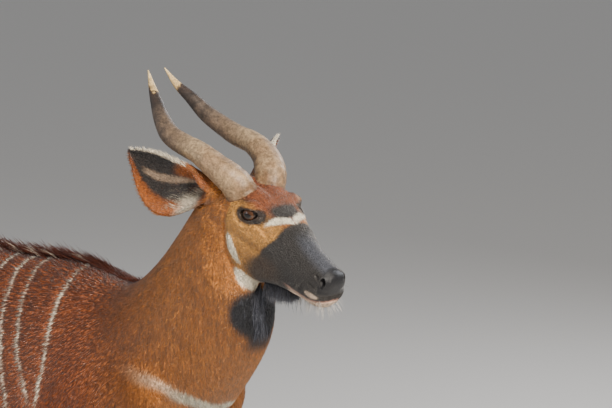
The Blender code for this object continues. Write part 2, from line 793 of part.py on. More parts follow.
def almond(name, frame, half_length, half_height):
    """A prism with the outline of the open lids, from inside the eyeball outwards."""
    bm = bmesh.new()
    rings = []
    for depth, size in ((0.007, 0.94), (0.016, 1.0), (0.030, 1.12)):
        ring = bmesh.ops.create_circle(bm, segments=20, radius=1.0)["verts"]
        for number, vert in enumerate(ring):
            angle = 2 * math.pi * number / 20
            x = half_length * math.cos(angle)
            y = half_height * math.copysign(abs(math.sin(angle)) ** 1.25, math.sin(angle))
            vert.co = frame @ Vector((x * size, y * size, depth))
        rings.append(ring)
    return skinned(name, bm, rings)


def set_eyes(head):
    """The lids swell over each eyeball and part in an almond, with the ball seated behind them."""
    sides = (("eye_left", 1), ("eye_right", -1))
    lids = [
        ball(name + "_lid", eye_frame(side), (EYE_RADIUS + LID + 0.0020,) * 3, 2)
        for name, side in sides
    ]
    fused(head, lids)
    for name, side in sides:
        frame = eye_frame(side)
        eyeball = ball(name, frame, (EYE_RADIUS,) * 3)
        cut_away(head, almond(name + "_opening", frame, 0.0212, 0.0155))
        cut_seat(head, eyeball)
        finished(eyeball, EYE)


def set_nostrils(head):
    for side in (-1, 1):
        turn = Euler((0.0, 0.55, side * 0.75)).to_matrix().to_4x4()
        frame = HEAD @ Matrix.Translation((0.3590, side * 0.0270, -0.0500)) @ turn
        cut_away(head, ball("nostril", frame, (0.0135, 0.0062, 0.0085), 2))


MOUTH_STEPS = 21


def set_mouth(head):
    """A groove along the meeting of the lips, from one corner round the front to the other."""
    tree = BVHTree.FromObject(head, bpy.context.evaluated_depsgraph_get())
    points = []
    for step in range(MOUTH_STEPS):
        turn = math.radians(-128 + 256 * step / (MOUTH_STEPS - 1))
        drop = -0.0885 - 0.012 * abs(math.sin(turn / 1.45)) ** 1.5
        start = HEAD @ Vector((0.322, 0.0, drop))
        way = HEAD.to_3x3() @ Vector((math.cos(turn), math.sin(turn), 0.0))
        hit = tree.ray_cast(start, way, 0.2)[0]
        points.append(hit + way * 0.0004)
    radii = [0.0022] * MOUTH_STEPS
    radii[0] = radii[-1] = 0.0012
    cut_away(head, tube("mouth", points, radii, 5))


# The tail's axis in the plane of the body: x, z, radius.
TAIL = [
    (-0.590, 1.035, 0.026),
    (-0.632, 1.030, 0.027),
    (-0.668, 0.985, 0.024),
    (-0.684, 0.910, 0.019),
    (-0.688, 0.810, 0.015),
    (-0.684, 0.700, 0.013),
    (-0.680, 0.600, 0.013),
    (-0.680, 0.530, 0.011),
]
def build_tail(torso):
    rows = spread(TAIL, 14)
    points = [Vector((x, 0.0, z)) for x, z, _ in rows]
    tail = tube("tail", points, [r for *_, r in rows], 10)
    chance = random.Random(3)
    locks = []
    for ring in range(TUFT_RINGS):
        down = ring / (TUFT_RINGS - 1)
        height = TUFT_TOP + (TUFT_BOTTOM - TUFT_TOP) * down
        for number in range(TUFT_AROUND):
            turn = 2 * math.pi * (number + 0.5 * (ring % 2)) / TUFT_AROUND
            out = Vector((math.cos(turn), math.sin(turn), 0.0))
            way = (Vector((0.0, 0.0, -1.0)) + out * 0.20).normalized()
            root = Vector((-0.681, 0.0, height)) + out * 0.007
            length = chance.uniform(0.12, 0.16)
            locks.append(lock(root, way, out, length, 0.030, 0.016, out * -0.010))
    fused(tail, locks)
    cut_seat(torso, tail)
    return finished(tail, COAT)


# Rows of a lock from its sunk root to its tip: share of the length, share of the width, share of the bend.
LOCK = [(-0.22, 0.8, 0.0), (0.42, 1.0, 0.2), (1.0, 0.08, 1.0)]


def lock(root, way, flat, length, width, thick, bend):
    """A flat tapered lock of hair. Its broad side faces flat, and its tip is moved by bend."""
    across = way.cross(flat).normalized()
    facing = across.cross(way).normalized()
    bm = bmesh.new()
    rings = []
    for along, size, bent in LOCK:
        ring = bmesh.ops.create_circle(bm, segments=4, radius=1.0)["verts"]
        centre = root + way * (length * along) + bend * bent
        for number, vert in enumerate(ring):
            angle = math.pi / 2 * number
            vert.co = (
                centre
                + across * (math.cos(angle) * width / 2 * size)
                + facing * (math.sin(angle) * thick / 2 * size)
            )
        rings.append(ring)
    return skinned("lock", bm, rings)


# The crest of hair on the back: from the withers to the rump, how many locks, and their size.
CREST_FROM = 0.425
CREST_TO = -0.55
CREST_LOCKS = 36
CREST_LENGTH = 0.060

# The ruff hangs from rows across the jaw's underside, set by their place in the head's frame,
# and from rows round the front of the throat, set by their height under the poll.
JAW_ROWS = (0.170, 0.200, 0.230, 0.258)
JAW_ACROSS = 4
JAW_HALF_WIDTH = 0.032
THROAT_ROWS = (-0.225, -0.255)
THROAT_ACROSS = 5
THROAT_TURN = math.radians(48)
RUFF_LENGTH = 0.066

# The tuft of the tail: rings of locks, locks to a ring, and the heights of the first and last ring.
TUFT_RINGS = 4
TUFT_AROUND = 6
TUFT_TOP = 0.665
TUFT_BOTTOM = 0.560


def surface(obj):
    return BVHTree.FromObject(obj, bpy.context.evaluated_depsgraph_get())


def grow_crest(torso):
    """The standing hair along the back: locks that rise and lean towards the tail."""
    tree = surface(torso)
    chance = random.Random(11)
    locks = []
    for number in range(CREST_LOCKS):
        along = number / (CREST_LOCKS - 1)
        x = CREST_FROM + (CREST_TO - CREST_FROM) * along
        root = tree.ray_cast(Vector((x, 0.0, 2.0)), Vector((0.0, 0.0, -1.0)), 3.0)[0]
        aside = (0.004 if number % 2 else -0.004) + chance.uniform(-0.001, 0.001)
        ends = min(1.0, 0.55 + 1.6 * math.sin(math.pi * along))
        length = CREST_LENGTH * ends * chance.uniform(0.9, 1.1)
        way = Vector((-0.84, aside * 8, 0.52)).normalized()
        flat = Vector((0.0, 1.0, 0.0))
        root.y += aside
        bend = Vector((-0.006, aside, -0.004))
        locks.append(lock(root, way, flat, length, 0.036, 0.015, bend))
    return fused(torso, locks)


def ruff_roots(tree):
    """Roots of the ruff with the way out of the skin at each and the share of the hair's full length."""
    turn = HEAD.to_3x3()
    roots = []
    for row, along in enumerate(JAW_ROWS):
        for column in range(JAW_ACROSS):
            aside = 2 * column / (JAW_ACROSS - 1) - 1
            start = HEAD @ Vector((along, JAW_HALF_WIDTH * aside * (1 - 0.12 * row), -0.22))
            root = tree.ray_cast(start, turn @ Vector((0.0, 0.0, 1.0)), 1.0)[0]
            out = turn @ Vector((-0.10, 0.50 * aside, 0.0))
            roots.append((root, out, 1.0 - 0.18 * row))
    middle = HEAD @ Vector((0.10, 0.0, 0.0))
    for row, height in enumerate(THROAT_ROWS):
        for column in range(THROAT_ACROSS):
            across = 2 * (column + 0.3 * row) / (THROAT_ACROSS - 0.7) - 1
            angle = HEAD_YAW + THROAT_TURN * across
            out = Vector((math.cos(angle), math.sin(angle), 0.0))
            start = Vector((middle.x, middle.y, POLL.z + height)) + out * 0.13
            root = tree.ray_cast(start, -out, 1.0)[0]
            roots.append((root, out * 0.45, 1.0 - 0.1 * row))
    return roots


def grow_ruff(head):
    """The dark hair that hangs from jaw and throat."""
    chance = random.Random(7)
    locks = []
    for root, out, share in ruff_roots(surface(head)):
        way = (Vector((0.0, 0.0, -1.0)) + out).normalized()
        length = RUFF_LENGTH * share * chance.uniform(0.9, 1.08)
        locks.append(lock(root, way, out, length, 0.038, 0.013, out * -0.02))
    return fused(head, locks)


def build():
    flesh = build_flesh()
    head = parted_head(flesh)
    neck, torso, legs = parted_body(flesh)
    bpy.data.objects.remove(flesh)
    for name, stations, side, step in LEGS:
        finish_leg(legs[name], name, stations, side, step)
    finished(neck, COAT)
    build_tail(torso)
    grow_crest(torso)
    cut_seat(torso, neck)
    finished(torso, COAT)
    grow_ruff(head)
    cut_seat(head, neck)
    set_eyes(head)
    set_nostrils(head)
    set_mouth(head)
    for name, side in (("left", 1), ("right", -1)):
        grown_horn = horn("horn_" + name, side)
        cut_seat(head, grown_horn)
        finished(grown_horn, HORN)
        cup, whole = ear("ear_" + name, side)
        cut_seat(head, whole)
        cut_seat(neck, whole)
        bpy.data.objects.remove(whole)
        finished(cup, COAT)
    finished(head, COAT)


def stand_at_origin():
    """Moves everything so that the outline's middle is over the origin and the soles are at z = 0."""
    points = [vert.co for obj in parts.objects for vert in obj.data.vertices]
    shift = Vector(
        (
            -(min(p.x for p in points) + max(p.x for p in points)) / 2,
            -(min(p.y for p in points) + max(p.y for p in points)) / 2,
            -min(p.z for p in points),
        )
    )
    for obj in parts.objects:
        obj.data.transform(Matrix.Translation(shift))


build()
stand_at_origin()
for left_over in list(cutters.objects):
    bpy.data.objects.remove(left_over)
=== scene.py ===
"""The looks of a life-size bongo antelope: skin, coat, horns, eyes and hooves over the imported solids.

Shapes are worked out in the CAD source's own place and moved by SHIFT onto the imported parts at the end.
"""

import math

import bmesh
import bpy
import numpy as np
from mathutils import Euler, Matrix, Vector
from mathutils.bvhtree import BVHTree


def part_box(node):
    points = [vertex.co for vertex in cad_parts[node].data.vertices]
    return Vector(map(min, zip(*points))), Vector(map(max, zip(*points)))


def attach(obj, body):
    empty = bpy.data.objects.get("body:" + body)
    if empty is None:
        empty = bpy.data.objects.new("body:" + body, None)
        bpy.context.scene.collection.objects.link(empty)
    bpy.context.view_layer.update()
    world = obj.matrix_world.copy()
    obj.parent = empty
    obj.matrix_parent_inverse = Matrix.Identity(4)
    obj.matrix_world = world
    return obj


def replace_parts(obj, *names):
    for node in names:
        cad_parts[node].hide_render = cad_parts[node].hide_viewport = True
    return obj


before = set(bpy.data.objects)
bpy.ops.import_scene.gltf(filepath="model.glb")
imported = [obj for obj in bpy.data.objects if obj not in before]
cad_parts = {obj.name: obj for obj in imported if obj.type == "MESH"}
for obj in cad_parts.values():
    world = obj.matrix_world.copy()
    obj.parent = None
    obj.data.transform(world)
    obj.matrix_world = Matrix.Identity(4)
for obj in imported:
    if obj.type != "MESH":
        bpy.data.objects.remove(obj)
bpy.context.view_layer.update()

CHANCE = np.random.default_rng(5)

# Where the head is held, and how it is turned at the poll.
POLL = Vector((0.770, -0.011, 1.386))
HEAD_YAW = math.radians(-8.7)
HEAD = (
    Matrix.Translation(POLL)
    @ Matrix.Rotation(HEAD_YAW, 4, "Z")
    @ Matrix.Rotation(math.radians(20.6), 4, "Y")
    @ Matrix.Rotation(math.radians(3.1), 4, "X")
)
WORLD = Matrix.Identity(4)

# The remesh's cell and the rounds of smoothing after it. This cell gives the finished skin 332,354 triangles,
# which is over the 200,000 that a piece should stay under.
SKIN_VOXEL = 0.007
SMOOTHING = 147
SMOOTH_LEVELS = 20
EAR_LENGTH = 0.208

# ---------------------------------------------------------------- small tools


def linear(hex_colour):
    """An sRGB hex colour as linear red, green and blue."""
    shares = [int(hex_colour[i : i + 2], 16) / 255 for i in (1, 3, 5)]
    return tuple(s / 12.92 if s <= 0.04045 else ((s + 0.055) / 1.055) ** 2.4 for s in shares)


def smooth_step(low, high, value):
    """0 below low, 1 above high and an even rise between; low may be the higher one."""
    t = np.clip((value - low) / (high - low), 0.0, 1.0)
    return t * t * (3 - 2 * t)


def rows_of(frame_matrix):
    """A matrix as numpy: its turn and its place."""
    whole = np.array(frame_matrix)
    return whole[:3, :3], whole[:3, 3]


def into(frame_matrix, points):
    """World points in the frame's own coordinates."""
    turn, place = rows_of(frame_matrix)
    return (points - place) @ turn


def out_of(frame_matrix, points):
    """Points of the frame as world points."""
    turn, place = rows_of(frame_matrix)
    return points @ turn.T + place


def unit(vectors):
    """The vectors at length 1."""
    return vectors / np.maximum(np.linalg.norm(vectors, axis=-1, keepdims=True), 1e-9)


def places(mesh):
    """The mesh's points as rows."""
    flat = np.empty(len(mesh.vertices) * 3)
    mesh.vertices.foreach_get("co", flat)
    return flat.reshape(-1, 3)


def put(mesh, points):
    """Moves the mesh's points to these places."""
    mesh.vertices.foreach_set("co", points.ravel())
    mesh.update()


def normals(mesh):
    """The way out of the mesh at each point."""
    flat = np.empty(len(mesh.vertices) * 3)
    mesh.vertex_normals.foreach_get("vector", flat)
    return flat.reshape(-1, 3)


def line_distance(points, line):
    """Each point's distance to a line through several places, and how far along it the nearest place is."""
    line = np.array(line, float)
    best = np.full(len(points), 1e9)
    along = np.zeros(len(points))
    for number, (start, end) in enumerate(zip(line, line[1:])):
        step = end - start
        t = np.clip(((points - start) @ step) / (step @ step), 0, 1)
        away = np.linalg.norm(points - (start + t[:, None] * step), axis=1)
        nearer = away < best
        best = np.where(nearer, away, best)
        along = np.where(nearer, (number + t) / (len(line) - 1), along)
    return best, along


def new_object(name, mesh):
    made = bpy.data.objects.new(name, mesh)
    bpy.context.scene.collection.objects.link(made)
    return made


def mesh_object(name, bm):
    bmesh.ops.recalc_face_normals(bm, faces=bm.faces)
    mesh = bpy.data.meshes.new(name)
    bm.to_mesh(mesh)
    bm.free()
    return new_object(name, mesh)


def applied(obj):
    """The object with its modifiers' result as its mesh."""
    bpy.context.view_layer.update()
    graph = bpy.context.evaluated_depsgraph_get()
    mesh = bpy.data.meshes.new_from_object(obj.evaluated_get(graph))
    obj.modifiers.clear()
    obj.data = mesh
    return obj


def boolean(obj, operation, other):
    """Cuts other out of obj or joins it to obj, and removes it."""
    modifier = obj.modifiers.new(operation.lower(), "BOOLEAN")
    modifier.operation = operation
    modifier.solver = "MANIFOLD"
    modifier.object = other
    applied(obj)
    bpy.data.objects.remove(other)
    return obj


def smoothed(obj, repeat, weight, factor=0.5):
    """Evens the skin out, each point by its weight from 0 to 1."""
    shares = weight(places(obj.data))
    group = obj.vertex_groups.new(name="smooth")
    levels = np.round(np.clip(shares, 0, 1) * SMOOTH_LEVELS).astype(int)
    for level in range(1, SMOOTH_LEVELS + 1):
        chosen = np.flatnonzero(levels == level).tolist()
        if chosen:
            group.add(chosen, level / SMOOTH_LEVELS, "REPLACE")
    modifier = obj.modifiers.new("smooth", "SMOOTH")
    modifier.factor = factor
    modifier.iterations = repeat
    modifier.vertex_group = "smooth"
    applied(obj)
    obj.vertex_groups.clear()
    return obj


def spread(stations, count):
    """Smooth rows through the stations at even steps of their number, by a Catmull-Rom curve."""
    stations = np.array(stations, float)
    last = len(stations) - 1
    rows = []
    for along in np.linspace(0, last, count):
        at = min(int(along), last - 1)
        t = along - at
        p, q, r, s = (stations[min(max(at + k, 0), last)] for k in (-1, 0, 1, 2))
        bend = (2 * p - 5 * q + 4 * r - s) * t * t
        rows.append(0.5 * (2 * q + (r - p) * t + bend + (3 * q - p - 3 * r + s) * t ** 3))
    return rows


def egg(angle, half_width, up, down, power_up, power_down):
    """A point of a rounded section: half_width to each side of its middle, up above it and down below it."""
    c, s = math.cos(angle), math.sin(angle)
    power = power_up if s >= 0 else power_down
    y = half_width * math.copysign(abs(c) ** (2 / power), c)
    z = (up if s >= 0 else down) * math.copysign(abs(s) ** (2 / power), s)
    return y, z


def bridged(name, bm, rings):
    """Faces between neighbouring rings, with both ends closed."""
    for first, second in zip(rings, rings[1:]):
        edges = [edge for ring in (first, second) for edge in ring_edges(ring)]
        bmesh.ops.bridge_loops(bm, edges=edges)
    bmesh.ops.contextual_create(bm, geom=rings[0])
    bmesh.ops.contextual_create(bm, geom=rings[-1])
    return mesh_object(name, bm)


def ring_edges(ring):
    """The edges between neighbours of the ring."""
    inside = set(ring)
    return {edge for vert in ring for edge in vert.link_edges if edge.other_vert(vert) in inside}


def placed_ring(bm, sides, place_at):
    """A ring of points, each at the place for its angle."""
    ring = bmesh.ops.create_circle(bm, segments=sides, radius=1.0)["verts"]
    for number, vert in enumerate(ring):
        vert.co = place_at(2 * math.pi * number / sides)
    return ring


def loft(name, frames, sections, sides):
    """A closed skin over rings of points. A frame is the ring's matrix, with the ring in its YZ plane."""
    bm = bmesh.new()
    rings = [
        placed_ring(bm, sides, lambda angle: place @ Vector((0.0, *egg(angle, *section))))
        for place, section in zip(frames, sections)
    ]
    return bridged(name, bm, rings)


def tube(name, points, radii, sides, shape=None):
    """A closed tapering tube through the points. shape scales the radius by row and angle."""
    bm = bmesh.new()
    rings = []
    side = Vector((0.0, 0.0, 1.0))
    for row, (point, radius) in enumerate(zip(points, radii)):
        ahead = (points[min(row + 1, len(points) - 1)] - points[max(row - 1, 0)]).normalized()
        side = (side - ahead * side.dot(ahead)).normalized()
        across = ahead.cross(side)

        def at(angle):
            size = radius * (shape(row, angle) if shape else 1.0)
            return point + (side * math.cos(angle) + across * math.sin(angle)) * size

        rings.append(placed_ring(bm, sides, at))
    return bridged(name, bm, rings)


def ball(name, place, radii, detail=4):
    """An ellipsoid in a frame."""
    bm = bmesh.new()
    size = Matrix.Diagonal((*radii, 1.0))
    bmesh.ops.create_icosphere(bm, subdivisions=detail, radius=1.0, matrix=place @ size)
    return mesh_object(name, bm)


def joined(name, pieces):
    """One object from several, which are removed."""
    bm = bmesh.new()
    for piece in pieces:
        bm.from_mesh(piece.data)
        bpy.data.objects.remove(piece)
    return mesh_object(name, bm)


def skin_tree(skin):
    """The skin's faces, for rays and nearest places."""
    return BVHTree.FromObject(skin, bpy.context.evaluated_depsgraph_get())


# ---------------------------------------------------------------- the body's sections

# Trunk stations, tail to chest: x, top, bottom, widest height, half width, roundness above and below.
BACK = 1.154
TRUNK = [
    (-0.655, BACK - 0.20, BACK - 0.34, BACK - 0.27, 0.05, 2.0, 2.0),
    (-0.63, BACK - 0.105, BACK - 0.42, BACK - 0.25, 0.115, 2.0, 2.0),
    (-0.57, BACK - 0.03, BACK - 0.485, BACK - 0.25, 0.170, 2.0, 2.1),
    (-0.46, BACK + 0.017, BACK - 0.53, BACK - 0.25, 0.205, 2.0, 2.2),
    (-0.33, BACK + 0.028, BACK - 0.55, BACK - 0.27, 0.215, 2.0, 2.2),
    (-0.18, BACK + 0.018, BACK - 0.585, BACK - 0.30, 0.232, 2.0, 2.2),
    (0.00, BACK - 0.002, BACK - 0.612, BACK - 0.32, 0.245, 2.0, 2.2),
    (0.16, BACK - 0.008, BACK - 0.605, BACK - 0.33, 0.232, 1.95, 2.2),
    (0.30, BACK, BACK - 0.575, BACK - 0.33, 0.205, 1.85, 2.2),
    (0.42, BACK - 0.012, BACK - 0.545, BACK - 0.32, 0.180, 1.8, 2.2),
    (0.54, BACK - 0.07, BACK - 0.49, BACK - 0.31, 0.165, 1.9, 2.2),
    (0.645, BACK - 0.15, BACK - 0.42, BACK - 0.29, 0.140, 2.0, 2.1),
    (0.69, BACK - 0.22, BACK - 0.35, BACK - 0.28, 0.080, 2.0, 2.0),
]

# Neck stations, chest to head: x, y, z of the axis, its slope in degrees, half width, size above and below.
NECK = [
    (0.36, 0.0, 0.93, 5, 0.140, 0.190, 0.270),
    (0.47, 0.0, 0.965, 22, 0.134, 0.155, 0.235),
    (0.570, 0.0, 1.03, 36, 0.120, 0.122, 0.226),
    (0.655, -0.002, 1.110, 42, 0.103, 0.112, 0.212),
    (0.725, -0.006, 1.190, 42, 0.091, 0.114, 0.194),
    (0.785, -0.011, 1.262, 28, 0.083, 0.118, 0.162),
    (0.845, -0.018, 1.302, 8, 0.068, 0.095, 0.115),
]

# Head stations in the head's own frame, poll to nose: x, top, bottom, widest height, half width, roundness.
SKULL = [
    (-0.035, -0.025, -0.125, -0.07, 0.045, 2.0, 2.0),
    (-0.015, -0.004, -0.155, -0.065, 0.064, 2.1, 2.0),
    (0.03, 0.012, -0.178, -0.055, 0.074, 2.2, 2.0),
    (0.07, 0.026, -0.184, -0.045, 0.077, 2.3, 2.0),
    (0.11, 0.032, -0.180, -0.035, 0.079, 2.3, 2.0),
    (0.15, 0.028, -0.166, -0.030, 0.076, 2.2, 2.0),
    (0.19, 0.017, -0.150, -0.040, 0.066, 2.1, 2.0),
    (0.23, 0.005, -0.136, -0.052, 0.056, 2.1, 2.0),
    (0.27, -0.006, -0.127, -0.068, 0.0470, 1.9, 2.1),
    (0.305, -0.015, -0.121, -0.072, 0.0430, 1.9, 2.2),
    (0.338, -0.022, -0.117, -0.074, 0.0410, 2.0, 2.3),
    (0.358, -0.030, -0.110, -0.072, 0.0360, 2.1, 2.3),
    (0.370, -0.042, -0.097, -0.070, 0.024, 2.1, 2.2),
]

# Leg stations from the top down: z, x, y, half depth along x, half width.
FORE = [
    (0.98, 0.400, 0.110, 0.100, 0.045),
    (0.88, 0.435, 0.128, 0.118, 0.058),
    (0.78, 0.452, 0.138, 0.118, 0.063),
    (0.69, 0.432, 0.134, 0.098, 0.058),
    (0.62, 0.405, 0.126, 0.080, 0.050),
    (0.55, 0.396, 0.120, 0.058, 0.043),
    (0.46, 0.398, 0.115, 0.043, 0.036),
    (0.38, 0.402, 0.112, 0.034, 0.032),
    (0.34, 0.404, 0.111, 0.0375, 0.0355),
    (0.295, 0.402, 0.111, 0.0315, 0.031),
    (0.24, 0.398, 0.111, 0.0245, 0.0225),
    (0.17, 0.396, 0.111, 0.0245, 0.0225),
    (0.125, 0.394, 0.111, 0.0325, 0.0285),
    (0.09, 0.404, 0.111, 0.0275, 0.0275),
    (0.055, 0.420, 0.111, 0.0335, 0.0335),
    (0.02, 0.430, 0.111, 0.0335, 0.0335),
]
HIND = [
    (1.05, -0.440, 0.075, 0.110, 0.070),
    (0.95, -0.465, 0.112, 0.150, 0.082),
    (0.84, -0.460, 0.128, 0.158, 0.084),
    (0.74, -0.437, 0.132, 0.140, 0.076),
    (0.65, -0.428, 0.128, 0.110, 0.062),
    (0.57, -0.458, 0.122, 0.074, 0.047),
    (0.505, -0.503, 0.118, 0.056, 0.036),
    (0.455, -0.535, 0.116, 0.051, 0.030),
    (0.405, -0.545, 0.115, 0.045, 0.032),
    (0.35, -0.541, 0.115, 0.034, 0.029),
    (0.28, -0.533, 0.115, 0.0255, 0.0225),
    (0.19, -0.526, 0.115, 0.0255, 0.0225),
    (0.135, -0.522, 0.115, 0.0330, 0.0285),
    (0.095, -0.510, 0.115, 0.0280, 0.0275),
    (0.058, -0.494, 0.115, 0.0335, 0.0335),
    (0.02, -0.484, 0.115, 0.0335, 0.0335),
]

# Each leg: name, stations, side, and how far its foot is set forwards of the plain stance.
LEGS = [
    ("foreleg_right", FORE, -1, 0.035),
    ("foreleg_left", FORE, 1, -0.030),
    ("hindleg_right", HIND, -1, -0.040),
    ("hindleg_left", HIND, 1, 0.045),
]
SWING_TOP = 0.75


def swing(z, step):
    """How far a leg's section at this height is shifted, for a foot set a step forwards."""
    return step * max(0.0, 1.0 - z / SWING_TOP)


def station_loft(name, stations, base, sides):
    """Trunk or skull from its stations along x in the base frame."""
    rows = spread(stations, 60)
    frames = [base @ Matrix.Translation((x, 0.0, widest)) for x, _, _, widest, *_ in rows]
    sections = [(w, top - mid, mid - low, up, down) for _, top, low, mid, w, up, down in rows]
    return loft(name, frames, sections, sides)


def neck_loft():
    """The neck, whose rings lean with its axis."""
    frames, sections = [], []
    for x, y, z, slope, width, above, below in spread(NECK, 40):
        turn = Matrix.Rotation(-math.radians(slope), 4, "Y")
        frames.append(Matrix.Translation((x, y, z)) @ turn)
        sections.append((width, above, below, 2.0, 2.1))
    return loft("neck_form", frames, sections, 40)


# A level ring: the section's YZ plane laid on its back.
LEVEL = Matrix(((0, 0, 1, 0), (0, 1, 0, 0), (-1, 0, 0, 0), (0, 0, 0, 1)))


def leg_loft(name, stations, side, step):
    """A leg of level rings, swung for its step."""
    frames, sections = [], []
    for z, x, y, depth, width in spread(stations, 64):
        frames.append(Matrix.Translation((x + swing(z, step), side * y, z)) @ LEVEL)
        sections.append((width, depth, depth, 2.1, 2.1))
    return loft(name + "_form", frames, sections, 28)


def body_weight(points):
    """The trunk is smoothed in full, the head and the slim lower legs hardly at all."""
    ahead = into(HEAD, points)[:, 0]
    by_head = np.clip((0.045 - ahead) / 0.09, 0.06, 1.0)
    return np.minimum(by_head, np.clip((points[:, 2] - 0.50) / 0.14, 0.06, 1.0))


def both_sides(moves):
    """The moves on the left, y above 0, and the same on the right."""
    mirrored = [((m[0], -m[1], m[2]), r, (s[0], -s[1], s[2])) for m, r, s in moves if m[1]]
    return list(moves) + mirrored


# Muscle and bone on the trunk, on the left: middle, radii, shift.
BODY_FORM = both_sides(
    [
        ((0.50, 0.17, 0.88), (0.10, 0.09, 0.12), (0.012, 0.010, 0.0)),
        ((0.62, 0.13, 0.90), (0.11, 0.10, 0.13), (0.024, 0.012, 0.0)),
        ((0.36, 0.20, 0.86), (0.06, 0.10, 0.26), (0.0, -0.008, 0.0)),
        ((0.30, 0.12, 1.05), (0.10, 0.12, 0.14), (0.0, 0.010, 0.0)),
        ((-0.22, 0.22, 0.72), (0.14, 0.16, 0.18), (0.0, -0.022, 0.0)),
        ((-0.24, 0.19, 1.00), (0.14, 0.12, 0.12), (0.0, -0.012, 0.0)),
        ((-0.38, 0.13, 1.12), (0.10, 0.08, 0.08), (0.0, 0.007, 0.005)),
    ]
)

# Forms of the head, on the left, in the head's own frame.
HEAD_FORM = both_sides(
    [
        # The brow over the eye, and the bony rim behind and under it.
        ((0.140, 0.062, 0.012), (0.045, 0.032, 0.026), (0.0, 0.006, 0.002)),
        ((0.120, 0.070, -0.030), (0.040, 0.030, 0.028), (0.0, 0.006, 0.0)),
        ((0.185, 0.050, -0.040), (0.055, 0.030, 0.018), (0.0, 0.006, 0.0)),
        # The rise under each horn, with the dip between them.
        ((0.085, 0.036, 0.028), (0.055, 0.036, 0.040), (0.004, 0.0, 0.009)),
        ((0.100, 0.000, 0.030), (0.060, 0.016, 0.040), (0.0, 0.0, -0.003)),
        # The hollow in front of the eye and the temple behind it.
        ((0.205, 0.048, -0.016), (0.035, 0.024, 0.022), (0.0, -0.005, 0.0)),
        ((0.070, 0.068, -0.020), (0.030, 0.030, 0.030), (0.0, -0.006, 0.0)),
        # The cheek muscle, the jaw's edge and the slimmer side of the muzzle.
        ((0.105, 0.060, -0.095), (0.070, 0.040, 0.060), (0.0, 0.008, 0.0)),
        ((0.245, 0.040, -0.085), (0.055, 0.030, 0.030), (0.0, -0.004, 0.0)),
        # The wing of the nostril, the upper lip and the chin.
        ((0.352, 0.032, -0.046), (0.030, 0.022, 0.024), (0.003, 0.004, 0.003)),
        ((0.345, 0.034, -0.082), (0.040, 0.022, 0.018), (0.0, 0.004, 0.0)),
        ((0.345, 0.000, -0.115), (0.035, 0.030, 0.020), (0.0, 0.0, -0.004)),
    ]
)


def push(obj, place, moves):
    """Moulds the skin: each move is a middle, a radius and a shift, in that frame."""
    points = places(obj.data)
    local = into(place, points)
    shift = np.zeros_like(points)
    for middle, radii, move in moves:
        away = np.linalg.norm((local - np.array(middle)) / np.array(radii), axis=1)
        shift += smooth_step(1.0, 0.0, away)[:, None] * np.array(move)
    put(obj.data, points + shift @ rows_of(place)[0].T)


def refined(obj, wanted):
    """Divides the faces whose middle is wanted once each way."""
    bm = bmesh.new()
    bm.from_mesh(obj.data)
    middles = np.array([face.calc_center_median() for face in bm.faces])
    chosen = wanted(middles)
    edges = {edge for face, take in zip(bm.faces, chosen) if take for edge in face.edges}
    bmesh.ops.subdivide_edges(bm, edges=list(edges), cuts=1, use_grid_fill=True)
    many = [face for face in bm.faces if len(face.verts) > 4]
    bmesh.ops.triangulate(bm, faces=many)
    bm.to_mesh(obj.data)
    bm.free()
    return obj


# ---------------------------------------------------------------- the skin

# Folds of the face, in the head's frame on the left: the line, its width and its depth.
# A negative depth is a ridge.
FACE_FOLDS = [
    # The jaw's rear edge stands off the neck.
    ([(0.088, 0.080, -0.030), (0.098, 0.082, -0.065), (0.116, 0.078, -0.105), (0.138, 0.058, -0.150),
      (0.165, 0.034, -0.178)], 0.006, 0.0032),
    ([(0.108, 0.080, -0.030), (0.116, 0.082, -0.062), (0.134, 0.076, -0.100), (0.156, 0.056, -0.140),
      (0.182, 0.032, -0.166)], 0.009, -0.0022),
    # The cheek's bony crest from under the eye towards the muzzle.
    ([(0.150, 0.078, -0.040), (0.190, 0.066, -0.046), (0.230, 0.052, -0.052)], 0.009, -0.0012),
    ([(0.150, 0.078, -0.058), (0.190, 0.066, -0.064), (0.230, 0.052, -0.068)], 0.011, 0.0009),
    # The tear line from the eye's front corner.
    ([(0.165, 0.068, -0.006), (0.183, 0.060, -0.012), (0.200, 0.054, -0.022)], 0.0045, 0.0022),
    # The upper lip's edge and the fold behind the mouth's corner.
    ([(0.262, 0.046, -0.096), (0.276, 0.046, -0.088), (0.300, 0.046, -0.078)], 0.005, -0.0016),
    ([(0.250, 0.050, -0.082), (0.258, 0.050, -0.098), (0.262, 0.048, -0.112)], 0.004, 0.0016),
    # The fold over the nostril and the groove between nose and lip.
    ([(0.325, 0.040, -0.034), (0.345, 0.036, -0.030), (0.362, 0.026, -0.034)], 0.0045, -0.0020),
    ([(0.330, 0.042, -0.062), (0.350, 0.038, -0.066), (0.370, 0.020, -0.068)], 0.0035, 0.0013),
    # The groove down the middle of the upper lip.
    ([(0.378, 0.0, -0.058), (0.376, 0.0, -0.070), (0.372, 0.0, -0.084)], 0.0030, 0.0014),
    # The valley between the two rises of the forehead.
    ([(0.085, 0.0, 0.034), (0.120, 0.0, 0.032), (0.160, 0.0, 0.024)], 0.009, 0.0018),
]

